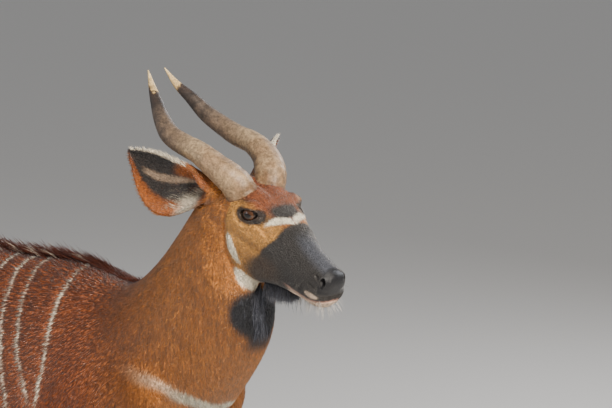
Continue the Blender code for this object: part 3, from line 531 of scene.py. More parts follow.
# Folds of the body, on the left: the neck's long muscle, the shoulder's edge and the breast.
BODY_FOLDS = [
    ([(0.66, 0.112, 1.20), (0.58, 0.145, 1.08), (0.52, 0.172, 0.97), (0.47, 0.185, 0.86)], 0.026, 0.0065),
    ([(0.50, 0.150, 1.10), (0.42, 0.178, 1.00), (0.37, 0.195, 0.88)], 0.020, 0.0045),
    ([(0.74, 0.090, 1.12), (0.70, 0.110, 1.02), (0.66, 0.130, 0.95)], 0.022, 0.0030),
    ([(0.30, 0.205, 0.78), (0.36, 0.190, 0.70), (0.40, 0.175, 0.64)], 0.020, 0.0040),
    ([(-0.28, 0.205, 0.80), (-0.25, 0.190, 0.70), (-0.24, 0.170, 0.63)], 0.022, 0.0060),
    ([(-0.50, 0.190, 0.90), (-0.52, 0.175, 0.78), (-0.50, 0.150, 0.66)], 0.020, 0.0035),
]


def fold(obj, place, lines):
    """Presses the folds into the skin along its own way out."""
    points = places(obj.data)
    way = normals(obj.data)
    local = into(place, points)
    local[:, 1] = np.abs(local[:, 1])
    shift = np.zeros(len(points))
    for line, width, depth in lines:
        away, _ = line_distance(local, line)
        shift -= depth * np.exp(-((away / width) ** 2))
    put(obj.data, points + way * shift[:, None])


EYE_RADIUS = 0.0215
LID = 0.0032
LID_RIM_STEPS = 72
LID_RIM_RADIUS = 0.00115
EYE_PLACE = Vector((0.141, 0.0500, -0.001))
EYE_OUT = Vector((0.34, 0.93, 0.05)).normalized()
OPENING = (0.0210, 0.0128)


def eye_frame(side):
    """The eye's frame: its x runs forwards along the opening and its z out of the head."""
    mirror = Vector((1.0, side, 1.0))
    out = (HEAD.to_3x3() @ (EYE_OUT * mirror)).normalized()
    ahead = HEAD.to_3x3() @ Vector((1.0, 0.0, 0.16))
    ahead = (ahead - out * ahead.dot(out)).normalized()
    up = out.cross(ahead) * side
    turn = Matrix((ahead, up, out)).transposed().to_4x4()
    return Matrix.Translation(HEAD @ (EYE_PLACE * mirror)) @ turn


def lid_outline(angle, size=1.0):
    """The edge of the open lids in the eye's frame, with a long front corner and a high rear arch."""
    c, s = math.cos(angle), math.sin(angle)
    x = OPENING[0] * c * size * (1.03 if c > 0 else 1.0)
    y = OPENING[1] * math.copysign(abs(s) ** 1.2, s) * size
    lean = -0.0022 * c * (1 + c)
    return x, y * (1 - 0.16 * c * max(s, 0)) + lean


def swell_lids(obj, side):
    """The skin stretches over the eyeball, with folds above and below the opening."""
    place = eye_frame(side)
    points = places(obj.data)
    local = into(place, points)
    away = np.linalg.norm(local, axis=1)
    lid = EYE_RADIUS + LID
    soft = 0.0022
    near = (away < 1.8 * lid) & (local[:, 2] > -0.006)
    over = np.logaddexp(0.0, (lid - away[near]) / soft) * soft
    local[near] *= ((away[near] + over) / away[near])[:, None]
    away = np.maximum(np.linalg.norm(local, axis=1), 1e-6)
    x, y = local[:, 0], local[:, 1]
    ring = np.sqrt((x / (OPENING[0] * 1.06)) ** 2 + (y / OPENING[1]) ** 2)
    front = local[:, 2] > 0.004
    upper = smooth_step(-0.2, 0.5, y / OPENING[1])
    shift = 0.0011 * np.exp(-(((ring - 1.16) / 0.16) ** 2))
    shift -= 0.0019 * upper * np.exp(-(((ring - 1.55) / 0.15) ** 2))
    shift += 0.0016 * upper * np.exp(-(((ring - 1.95) / 0.28) ** 2))
    shift -= 0.0012 * (1 - upper) * np.exp(-(((ring - 1.60) / 0.18) ** 2))
    shift += 0.0009 * (1 - upper) * np.exp(-(((ring - 2.0) / 0.25) ** 2))
    local += (local / away[:, None]) * (shift * front)[:, None]
    put(obj.data, out_of(place, local))


def lid_prism(name, side):
    """A prism with the outline of the open lids, from inside the eyeball outwards."""
    place = eye_frame(side)
    bm = bmesh.new()
    rings = [
        placed_ring(bm, 48, lambda angle: place @ Vector((*lid_outline(angle, size), depth)))
        for depth, size in ((0.006, 0.90), (0.016, 0.98), (0.020, 1.0), (0.034, 1.10))
    ]
    return bridged(name, bm, rings)


# The openings of each nostril, on the left in the head's frame: middle, radii and turn.
NOSTRIL = [
    ((0.3570, 0.0280, -0.0495), (0.0145, 0.0072, 0.0094), (0, 0.55, 0.75)),
    ((0.3450, 0.0355, -0.0420), (0.0095, 0.0055, 0.0048), (0, 0.25, 0.6)),
]

# The lips' meeting runs round a place in the muzzle, and drops away from its height in front.
MOUTH_PLACE = 0.322
MOUTH_HEIGHT = -0.0885
MOUTH_DROP = 0.012
MOUTH_STEPS = 60
MOUTH_RADIUS = 0.0021


def nostril_ball(side, middle, radii, turn):
    """An ellipsoid that cuts one opening of a nostril."""
    lean = Euler((turn[0], turn[1], side * turn[2])).to_matrix().to_4x4()
    place = HEAD @ Matrix.Translation((middle[0], side * middle[1], middle[2])) @ lean
    return ball("nostril", place, radii, 3)


def mouth_line(skin):
    """The meeting of the lips, found on the skin from one corner round the front to the other."""
    tree = skin_tree(skin)
    points = []
    for step in range(MOUTH_STEPS + 1):
        turn = math.radians(-128 + 256 * step / MOUTH_STEPS)
        height = MOUTH_HEIGHT - MOUTH_DROP * abs(math.sin(turn / 1.45)) ** 1.5
        start = HEAD @ Vector((MOUTH_PLACE, 0.0, height))
        way = HEAD.to_3x3() @ Vector((math.cos(turn), math.sin(turn), 0.0))
        hit = tree.ray_cast(start, way, 0.2)[0]
        points.append(hit + way * 0.0005)
    return points


# The ear in the head's frame, as on the left: its root, each ear's axis and the way its cup opens.
EAR_ROOT = Vector((0.034, 0.050, -0.016))
EAR_AXES = {1: Vector((-0.66, 0.73, 0.12)), -1: Vector((-0.772, 0.604, 0.199))}
EAR_OPEN = Vector((0.596, 0.796, -0.10)).normalized()

# Ear rows from root to tip: share of the length, half width, half thickness, set back and set down.
EAR = [
    (-0.03, 0.0210, 0.0190, 0.0, 0.0),
    (0.10, 0.0270, 0.0215, 0.0, 0.003),
    (0.22, 0.0470, 0.0240, 0.001, 0.020),
    (0.36, 0.0660, 0.0220, 0.003, 0.036),
    (0.50, 0.0730, 0.0195, 0.004, 0.043),
    (0.64, 0.0690, 0.0155, 0.004, 0.040),
    (0.78, 0.0530, 0.0115, 0.003, 0.028),
    (0.90, 0.0290, 0.0075, 0.001, 0.013),
    (1.00, 0.0060, 0.0040, -0.002, 0.0),
]
EAR_SKIN = 0.0009

# An ear's leaf lies further than this from the head's middle plane.
EAR_CLEAR = 0.055


def ear_frame(side, along=0.0, back=0.0, down=0.0):
    """The ring's frame at this share of the ear's length: x is the axis and z the cup's opening."""
    mirror = Vector((1.0, side, 1.0))
    axis = (HEAD.to_3x3() @ (EAR_AXES[side] * mirror)).normalized()
    opening = HEAD.to_3x3() @ (EAR_OPEN * mirror)
    opening = (opening - axis * opening.dot(axis)).normalized()
    across = opening.cross(axis)
    root = HEAD @ (EAR_ROOT * mirror)
    centre = root + axis * (EAR_LENGTH * along) - opening * back - across * side * down
    return Matrix.Translation(centre) @ Matrix((axis, across, opening)).transposed().to_4x4()


def ear_cup(side):
    """A leaf-shaped ear, hollowed from the front."""
    frames, sections = [], []
    hollow_frames, hollow_sections = [], []
    for along, width, thick, back, down in spread(EAR, 44):
        frames.append(ear_frame(side, along, back, down))
        sections.append((max(width - EAR_SKIN, 0.002), thick - EAR_SKIN, thick - EAR_SKIN, 2.0, 2.0))
        if along < 0.10:
            continue
        open_out = min(1.0, (along - 0.08) / 0.25)
        wall = ear_wall(along)
        hollow_frames.append(ear_frame(side, along, back - wall - 0.35 * thick * open_out, down))
        inside = max(width - 1.1 * wall - EAR_SKIN, 0.001) * (0.35 + 0.65 * open_out)
        hollow_sections.append((inside, thick * (1 + 0.35 * open_out), thick, 2.0, 2.0))
    cup = loft("ear_form", frames, sections, 44)
    return boolean(cup, "DIFFERENCE", loft("ear_hollow", hollow_frames, hollow_sections, 40))


def ear_wall(along):
    """How thick the ear's wall is at this share of its length."""
    return 0.0055 - 0.0025 * along


def ear_size(along):
    """Half width, half thickness, set back and set down at these shares of the ear's length."""
    table = np.array(EAR)
    return [np.interp(along, table[:, 0], table[:, column]) for column in (1, 2, 3, 4)]


def on_ear(points):
    """True on the ears' leaves."""
    found = np.zeros(len(points), dtype=bool)
    for side in (-1, 1):
        local = into(ear_frame(side), points)
        along = local[:, 0] / EAR_LENGTH
        half, thick, back, down = ear_size(along)
        across = np.abs(local[:, 1] + side * down) / half
        out = np.abs(local[:, 2] + back) / thick
        found |= (along > 0.09) & (along < 1.1) & (across < 1.25) & (out < 2.0)
    return found & (np.abs(into(HEAD, points)[:, 1]) > EAR_CLEAR)


# The tail's axis in the plane of the body: x, z, radius.
TAIL = [
    (-0.590, 1.035, 0.026),
    (-0.632, 1.030, 0.027),
    (-0.668, 0.985, 0.024),
    (-0.684, 0.910, 0.019),
    (-0.688, 0.810, 0.015),
    (-0.684, 0.700, 0.013),
    (-0.680, 0.600, 0.013),
    (-0.680, 0.530, 0.011),
]

# The foot: the coronet's slope and its height at the middle.
CORONET_SLOPE = math.radians(21)
CORONET_HEIGHT = 0.050


def foot_middle(stations, side, step):
    """Where the leg's axis meets the coronet."""
    _, x, y, _, _ = stations[-2]
    return Vector((x + swing(CORONET_HEIGHT, step), side * y, CORONET_HEIGHT))


def coat_depth(points):
    """How deep the hair stands over the skin: least on face and feet."""
    ahead = into(HEAD, points)[:, 0]
    by_head = smooth_step(0.05, -0.06, ahead)
    by_leg = smooth_step(0.42, 0.66, points[:, 2])
    return 0.0007 + 0.0021 * by_head * by_leg


def trimmed_feet(skin):
    """Cuts each leg along its coronet and closes it, so that the hoof meets it there."""
    for _, stations, side, step in LEGS:
        middle = foot_middle(stations, side, step)
        block = bmesh.new()
        turn = Matrix.Rotation(-CORONET_SLOPE, 4, "Y")
        shape = turn @ Matrix.Translation((0.0, 0.0, -0.06)) @ Matrix.Diagonal((0.2, 0.14, 0.12, 1.0))
        bmesh.ops.create_cube(block, size=1.0, matrix=Matrix.Translation(middle) @ shape)
        boolean(skin, "DIFFERENCE", mesh_object("foot_cut", block))
    return skin


def near_head(low_x):
    """A test for the head, ahead of this x in its frame."""
    return lambda middles: into(HEAD, middles)[:, 0] > low_x


def near_features(middles):
    """Round the eyes and over the muzzle, where the skin is finest."""
    local = into(HEAD, middles)
    eye = np.array(EYE_PLACE) + np.array((0.008, 0.022, 0.0))
    local[:, 1] = np.abs(local[:, 1])
    by_eye = np.linalg.norm((local - eye) / (0.048, 0.040, 0.034), axis=1) < 1
    return by_eye | (local[:, 0] > 0.255)


def build_skin():
    """The whole flesh as one skin, with its openings cut and its ears and tail joined on."""
    legs = [leg_loft(*leg) for leg in LEGS]
    trunk = station_loft("trunk", TRUNK, WORLD, 56)
    skin = joined("skin", [trunk, neck_loft(), station_loft("skull", SKULL, HEAD, 48), *legs])
    modifier = skin.modifiers.new("remesh", "REMESH")
    modifier.mode = "VOXEL"
    modifier.voxel_size = SKIN_VOXEL
    applied(skin)
    smoothed(skin, SMOOTHING, body_weight)
    push(skin, WORLD, BODY_FORM)
    push(skin, HEAD, HEAD_FORM)
    smoothed(skin, SMOOTHING // 6, body_weight)
    points = places(skin.data)
    put(skin.data, points - normals(skin.data) * coat_depth(points)[:, None])
    refined(skin, near_head(-0.01))
    smoothed(skin, 3, lambda p: smooth_step(-0.02, 0.01, into(HEAD, p)[:, 0]))
    refined(skin, near_features)
    smoothed(skin, 2, ahead_of_poll)
    fold(skin, WORLD, BODY_FOLDS)
    for side in (-1, 1):
        swell_lids(skin, side)
    fold(skin, HEAD, FACE_FOLDS)
    smoothed(skin, 1, ahead_of_poll)
    for side in (-1, 1):
        boolean(skin, "DIFFERENCE", lid_prism("lid_opening", side))
        for opening in NOSTRIL:
            boolean(skin, "DIFFERENCE", nostril_ball(side, *opening))
    groove = mouth_line(skin)
    steps = range(MOUTH_STEPS + 1)
    radii = [MOUTH_RADIUS * min(1.0, 0.35 + 3 * min(n, MOUTH_STEPS - n) / (MOUTH_STEPS / 2)) for n in steps]
    boolean(skin, "DIFFERENCE", tube("mouth", groove, radii, 8))
    smoothed(skin, 2, detail_weight, 0.4)
    for side in (-1, 1):
        boolean(skin, "UNION", ear_cup(side))
    rows = spread(TAIL, 60)
    axis = [Vector((x, 0.0, z)) for x, z, _ in rows]
    boolean(skin, "UNION", tube("tail_form", axis, [r - 0.001 for *_, r in rows], 24))
    smoothed(skin, 10, root_weight)
    return trimmed_feet(skin)


def ahead_of_poll(points):
    """Rises to 1 from the poll forwards."""
    return smooth_step(0.0, 0.03, into(HEAD, points)[:, 0])


def detail_weight(points):
    """Only the cut edges of lids, nostrils and lips."""
    local = into(HEAD, points)
    return np.where(near_features(points) & (local[:, 0] > 0.1), 1.0, 0.0)


def root_weight(points):
    """The joins of ears and tail with the body."""
    share = np.zeros(len(points))
    for side in (-1, 1):
        middle = np.array(ear_frame(side, 0.085).translation)
        away = np.linalg.norm(points - middle, axis=1)
        share = np.maximum(share, smooth_step(0.052, 0.030, away))
    away = np.linalg.norm(points - (-0.635, 0.0, 1.02), axis=1)
    return np.maximum(share, smooth_step(0.07, 0.04, away))


# ---------------------------------------------------------------- horns, eyes and hooves

# The horn's axis from its seat to its tip in the head's frame, on the left: x, y, z, radius.
HORN_AXIS = [
    (0.085, 0.034, 0.006, 0.0335),
    (0.066, 0.047, 0.031, 0.0330),
    (0.020, 0.066, 0.0475, 0.0285),
    (-0.031, 0.072, 0.053, 0.0250),
    (-0.082, 0.0705, 0.0455, 0.0235),
    (-0.134, 0.070, 0.043, 0.0215),
    (-0.181, 0.059, 0.0515, 0.0190),
    (-0.224, 0.0465, 0.069, 0.0145),
    (-0.266, 0.0325, 0.0845, 0.0085),
    (-0.303, 0.022, 0.107, 0.0012),
]
KEEL_TURNS = 0.75
HORN_ROWS = 220
HORN_SIDES = 64

# Rings come every few rows, with an unevenness of their own for each.
HORN_RING_ROWS = 4


def horn(name, side):
    """A horn with a keel that winds round it and low uneven rings near its base."""
    rows = spread(HORN_AXIS, HORN_ROWS)
    points = [HEAD @ Vector((x, side * y, z)) for x, y, z, _ in rows]
    radii = [max(r, 0.0006) for *_, r in rows]
    chance = np.random.default_rng(4)
    ring_rows = np.arange(0, HORN_ROWS, HORN_RING_ROWS)
    rings = np.interp(np.arange(HORN_ROWS), ring_rows, chance.uniform(-1, 1, len(ring_rows)))

    def shape(row, angle):
        along = row / (HORN_ROWS - 1)
        turned = angle - side * (0.6 + 2 * math.pi * KEEL_TURNS * along)
        ridge = 0.5 + 0.5 * math.cos(turned)
        second = 0.5 + 0.5 * math.cos(turned + 2.4)
        grain = 0.010 * math.sin(angle * 11 + 5 * along + side) + 0.006 * math.sin(angle * 23)
        worn = 0.030 * rings[row] * max(0.0, 1 - along * 1.3)
        keel = 0.13 * ridge ** 8 * (1 - along) + 0.04 * second ** 4 * (1 - along)
        return 0.96 + keel + worn + grain * (1 - along)

    made = tube(name, points, radii, HORN_SIDES, shape)
    lengthwise = np.repeat(np.arange(HORN_ROWS) / (HORN_ROWS - 1), HORN_SIDES)
    write_number(made, "along", lengthwise)
    return shaded(made)


def write_number(obj, name, values):
    """One number at each point of the mesh, for a material to read."""
    layer = obj.data.attributes.new(name, "FLOAT", "POINT")
    layer.data.foreach_set("value", np.asarray(values, dtype=np.float32))


def write_colour(obj, name, colours):
    """A linear colour at each point of the mesh."""
    layer = obj.data.color_attributes.new(name, "FLOAT_COLOR", "POINT")
    whole = np.ones((len(colours), 4), dtype=np.float32)
    whole[:, :3] = colours
    layer.data.foreach_set("color", whole.ravel())


def shaded(obj):
    """The object with smooth faces."""
    obj.data.polygons.foreach_set("use_smooth", np.ones(len(obj.data.polygons), dtype=bool))
    obj.data.update()
    return obj


def eyeball(name, side):
    """A ball with a clear bulge over the iris, and the place in the eye's own frame at each point."""
    place = eye_frame(side)
    made = ball(name, place, (EYE_RADIUS,) * 3, 6)
    points = places(made.data)
    local = into(place, points)
    across = np.linalg.norm(local[:, :2], axis=1)
    local[:, 2] += 0.0012 * smooth_step(0.0145, 0.004, across) * (local[:, 2] > 0)
    put(made.data, out_of(place, local))
    write_number(made, "eye_x", local[:, 0])
    write_number(made, "eye_y", local[:, 1])
    return shaded(made)


def lid_rim(name, side):
    """The wet dark edge of the lids, where they touch the eyeball."""
    place = eye_frame(side)
    points = []
    for number in range(LID_RIM_STEPS + 1):
        x, y = lid_outline(2 * math.pi * number / LID_RIM_STEPS, 0.985)
        z = math.sqrt(max((EYE_RADIUS + 0.0008) ** 2 - x * x - y * y, 1e-6))
        points.append(place @ Vector((x, y, z)))
    return shaded(tube(name, points, [LID_RIM_RADIUS] * len(points), 8))


TOE_HALF_LENGTH = 0.048
TOE_HALF_WIDTH = 0.0198
TOE_APART = 0.0008

# Rows of a toe from coronet to sole: share of the way down, shift forwards, half length, half width.
TOE = [
    (0.0, 0.000, 0.0335, 0.0165),
    (0.15, 0.002, 0.0375, 0.0180),
    (0.5, 0.006, 0.0425, 0.0192),
    (0.85, 0.010, TOE_HALF_LENGTH, TOE_HALF_WIDTH),
    (1.0, 0.010, TOE_HALF_LENGTH - 0.002, TOE_HALF_WIDTH - 0.0015),
]


def toe(name, middle, side):
    """One toe of a cloven hoof with fine growth lines round its wall."""
    frames, sections = [], []
    for row, (down, ahead, length, width) in enumerate(spread(TOE, 40)):
        height = (CORONET_HEIGHT + 0.0006) * (1 - down)
        place = Matrix.Translation((middle.x + ahead, middle.y + side * (width + TOE_APART), height))
        line = 1 - 0.010 * (0.5 + 0.5 * math.sin(row * 1.9)) * math.sin(math.pi * down)
        frames.append(place @ Matrix.Rotation(-CORONET_SLOPE * (1 - down), 4, "Y") @ LEVEL)
        sections.append((width * line, length * line, length * line, 2.3, 2.3))
    return shaded(loft(name, frames, sections, 36))


def dewclaw(name, middle, side):
    """A small blunt claw behind the fetlock."""
    root = middle + Vector((-0.030, side * 0.016, 0.062))
    tip = root + Vector((-0.016, side * 0.004, -0.026))
    rows = spread([(0.0, 0.011), (0.35, 0.0115), (0.75, 0.0085), (1.0, 0.003)], 16)
    points = [root.lerp(tip, t) for t, _ in rows]
    return shaded(tube(name, points, [r for _, r in rows], 20))


# ---------------------------------------------------------------- markings

NECK_CHESTNUT = linear("#BD7831")
BODY_CHESTNUT = linear("#87451C")
RUMP_CHESTNUT = linear("#6C3315")
BELLY_BROWN = linear("#45210F")
SPINE_BROWN = linear("#5B2710")
CREAM = linear("#EFE3CB")
CHEEK_TAN = linear("#BF8A42")
FOREHEAD_RED = linear("#8A4D2B")
MUZZLE_GREY = linear("#33302E")
JAW_BROWN = linear("#54402C")
BLUE_BLACK = linear("#1F2026")
NOSE_BLACK = linear("#17171A")
LIP_PALE = linear("#DBC3AC")
LIP_PINK = linear("#B98A78")
LEG_DARK = linear("#2B1710")
EAR_GREY = linear("#3B3532")
EAR_PALE = linear("#C4A88C")
EDGE_ORANGE = linear("#AD6E35")
EAR_CHESTNUT = linear("#A55C21")
# A painted bluish highlight for the top of the nose.
RIDGE_HIGHLIGHT_BLUE = linear("#5A5E68")
EYE_RING_TAN = linear("#B98442")
FRINGE_SILVER = linear("#8E92A0")
LASH_BLACK = linear("#14100E")
WHISKER_PALE = linear("#CFC9C0")
WHISKER_GREY = linear("#6E6A64")

# The four stripes that show in the photo: height and place along the body.
FRONT_STRIPES = [
    [(1.20, 0.372), (1.166, 0.360), (1.144, 0.349), (1.052, 0.355), (1.00, 0.361), (0.928, 0.358), (0.84, 0.345)],
    [(1.20, 0.196), (1.143, 0.227), (1.079, 0.262), (1.016, 0.280), (0.971, 0.290), (0.92, 0.311), (0.85, 0.338)],
    [(1.20, 0.152), (1.141, 0.178), (1.078, 0.210), (1.035, 0.224), (0.986, 0.240), (0.907, 0.265), (0.80, 0.292)],
    [(1.20, 0.085), (1.146, 0.120), (1.097, 0.148), (1.00, 0.176), (0.90, 0.196), (0.80, 0.206), (0.72, 0.208)],
]
REAR_STRIPES = 8
STRIPE_HALF_WIDTH = 0.0034


def stripe_tables():
    """Every stripe of one side as heights and places; those behind the fourth follow by rule."""
    tables = list(FRONT_STRIPES)
    for number in range(REAR_STRIPES):
        top = 0.045 - 0.084 * number
        lean = 0.085 - 0.020 * number
        low = 0.68 + 0.012 * number + (0.03 if number % 2 else 0.0)
        rows = []
        for down in (0.0, 0.2, 0.45, 0.7, 1.0):
            bow = 0.018 * math.sin(math.pi * down)
            rows.append((1.20 + (low - 1.20) * down, top + lean * down + bow))
        tables.append(rows)
    return tables


def striped(points):
    """How much of the cream stripes covers each point, from 0 to 1."""
    x, z = points[:, 0], points[:, 2]
    cover = np.zeros(len(points))
    flank = smooth_step(0.30, 0.16, np.abs(z - 0.93) - 0.12)
    for number, table in enumerate(stripe_tables()):
        heights = np.array([row[0] for row in table])[::-1]
        along = np.array([row[1] for row in table])[::-1]
        wave = 0.0012 * np.sin(z * 61 + number * 2.1) + 0.0008 * np.sin(z * 143 + number)
        middle = np.interp(z, heights, along) + wave
        ends = smooth_step(heights[0] - 0.01, heights[0] + 0.05, z)
        width = STRIPE_HALF_WIDTH * (0.85 + 0.20 * np.sin(z * 37 + number * 1.7)) * (0.7 + 0.3 * ends)
        line = 0.85 * smooth_step(width + 0.0014, width - 0.0010, np.abs(x - middle))
        cover = np.maximum(cover, line * ends)
    return cover * flank * smooth_step(0.60, 0.66, z)


# The white crescent on the breast, on the right and the same on the left.
CRESCENT = [
    (0.560, 0.150, 0.985),
    (0.620, 0.136, 0.962),
    (0.684, 0.092, 0.925),
    (0.722, 0.056, 0.906),
    (0.748, 0.0, 0.902),
]


def mixed(colours, colour, share):
    """The colours with this colour laid over them by its share."""
    return colours + (np.array(colour) - colours) * np.clip(share, 0, 1)[:, None]


def body_colours(points):
    """The colours of neck, trunk and legs."""
    x, z = points[:, 0], points[:, 2]
    y = np.abs(points[:, 1])
    colours = np.tile(BODY_CHESTNUT, (len(points), 1))
    colours = mixed(colours, NECK_CHESTNUT, smooth_step(0.42, 0.74, x + 0.25 * (z - 1.0)))
    colours = mixed(colours, RUMP_CHESTNUT, smooth_step(0.15, -0.40, x) * 0.9)
    colours = mixed(colours, BELLY_BROWN, smooth_step(0.72, 0.58, z) * smooth_step(0.5, 0.44, x) * 0.85)
    top = smooth_step(0.040, 0.010, y) * smooth_step(1.05, 1.12, z + 0.35 * np.maximum(x - 0.42, 0))
    colours = mixed(colours, SPINE_BROWN, top * smooth_step(0.66, 0.50, x) * 0.85)
    away, along = line_distance(np.column_stack((x, y, z)), CRESCENT)
    wide = 0.013 * (0.20 + 0.80 * smooth_step(0.15, 0.75, along))
    soft = 0.004 + 0.020 * smooth_step(0.75, 0.1, along)
    strength = 0.25 + 0.75 * smooth_step(0.2, 0.7, along)
    colours = mixed(colours, CREAM, smooth_step(wide + soft, wide - 0.004, away) * strength)
    under = smooth_step(0.895, 0.86, z) * smooth_step(0.62, 0.70, x) * smooth_step(0.12, 0.05, y)
    colours = mixed(colours, BELLY_BROWN, under * 0.6)
    return mixed(colours, CREAM, striped(points))


def leg_colours(points, colours):
    """Dark shanks with white patches on the inner side, over the knee and round the pastern."""
    x, z = points[:, 0], points[:, 2]
    y = np.abs(points[:, 1])
    for _, stations, side, step in LEGS:
        table = np.array(stations)[::-1]
        fore = stations is FORE
        axis_x = np.interp(z, table[:, 0], table[:, 1]) + step * np.maximum(0, 1 - z / SWING_TOP)
        axis_y = np.interp(z, table[:, 0], table[:, 2])
        own = (points[:, 1] * side > 0.01) & (np.abs(x - axis_x) < 0.16) & (z < 0.66)
        ahead = (x - axis_x) / 0.04
        inner = (axis_y - y) / 0.03
        shank = smooth_step(0.60, 0.46, z + 0.03 * ahead) if fore else smooth_step(0.52, 0.40, z - 0.02 * ahead)
        dark = shank * smooth_step(-0.9, 0.5, ahead + 0.25) if fore else shank * 0.9
        colours = np.where(own[:, None], mixed(colours, LEG_DARK, dark * 0.92), colours)
        band = smooth_step(0.028, 0.012, np.abs(z - 0.118)) * smooth_step(-0.9, -0.2, ahead + 0.6 * inner)
        spot = smooth_step(0.070, 0.045, np.abs(z - (0.375 if fore else 0.43))) * smooth_step(0.2, 0.8, inner)
        # Known fault: this mark isn't kept to the leg, and covers the underside of the chest as well.
        top = smooth_step(0.060, 0.035, np.abs(z - 0.60)) * smooth_step(0.3, 0.9, inner) * fore
        pale = np.maximum(np.maximum(band, spot), top)
        colours = np.where(own[:, None], mixed(colours, CREAM, pale * 0.95), colours)
        ring = smooth_step(0.082, 0.066, z)
        colours = np.where(own[:, None], mixed(colours, LEG_DARK, ring), colours)
    return colours


# Where the tan of the face begins and the dark of the muzzle begins, at depths below the head's axis.
FACE_EDGE = ([0.0, 0.065, 0.105, 0.15, 0.18], [0.088, 0.103, 0.122, 0.150, 0.176])
MUZZLE_EDGE = (
    [-0.02, 0.0, 0.02, 0.04, 0.065, 0.085, 0.12, 0.16],
    [0.218, 0.219, 0.220, 0.210, 0.196, 0.180, 0.164, 0.170],
)

# The dark line from the eye's front corner to the band over the nose.
EYE_LINE = [(0.158, 0.072, -0.004), (0.176, 0.062, -0.006), (0.190, 0.040, 0.012)]

# The two pale spots of the cheek: place, half length, half width and tilt in degrees.
CHEEK_SPOTS = ((0.1290, -0.084, 0.034, 0.0088, 57), (0.1590, -0.157, 0.036, 0.0120, 52))


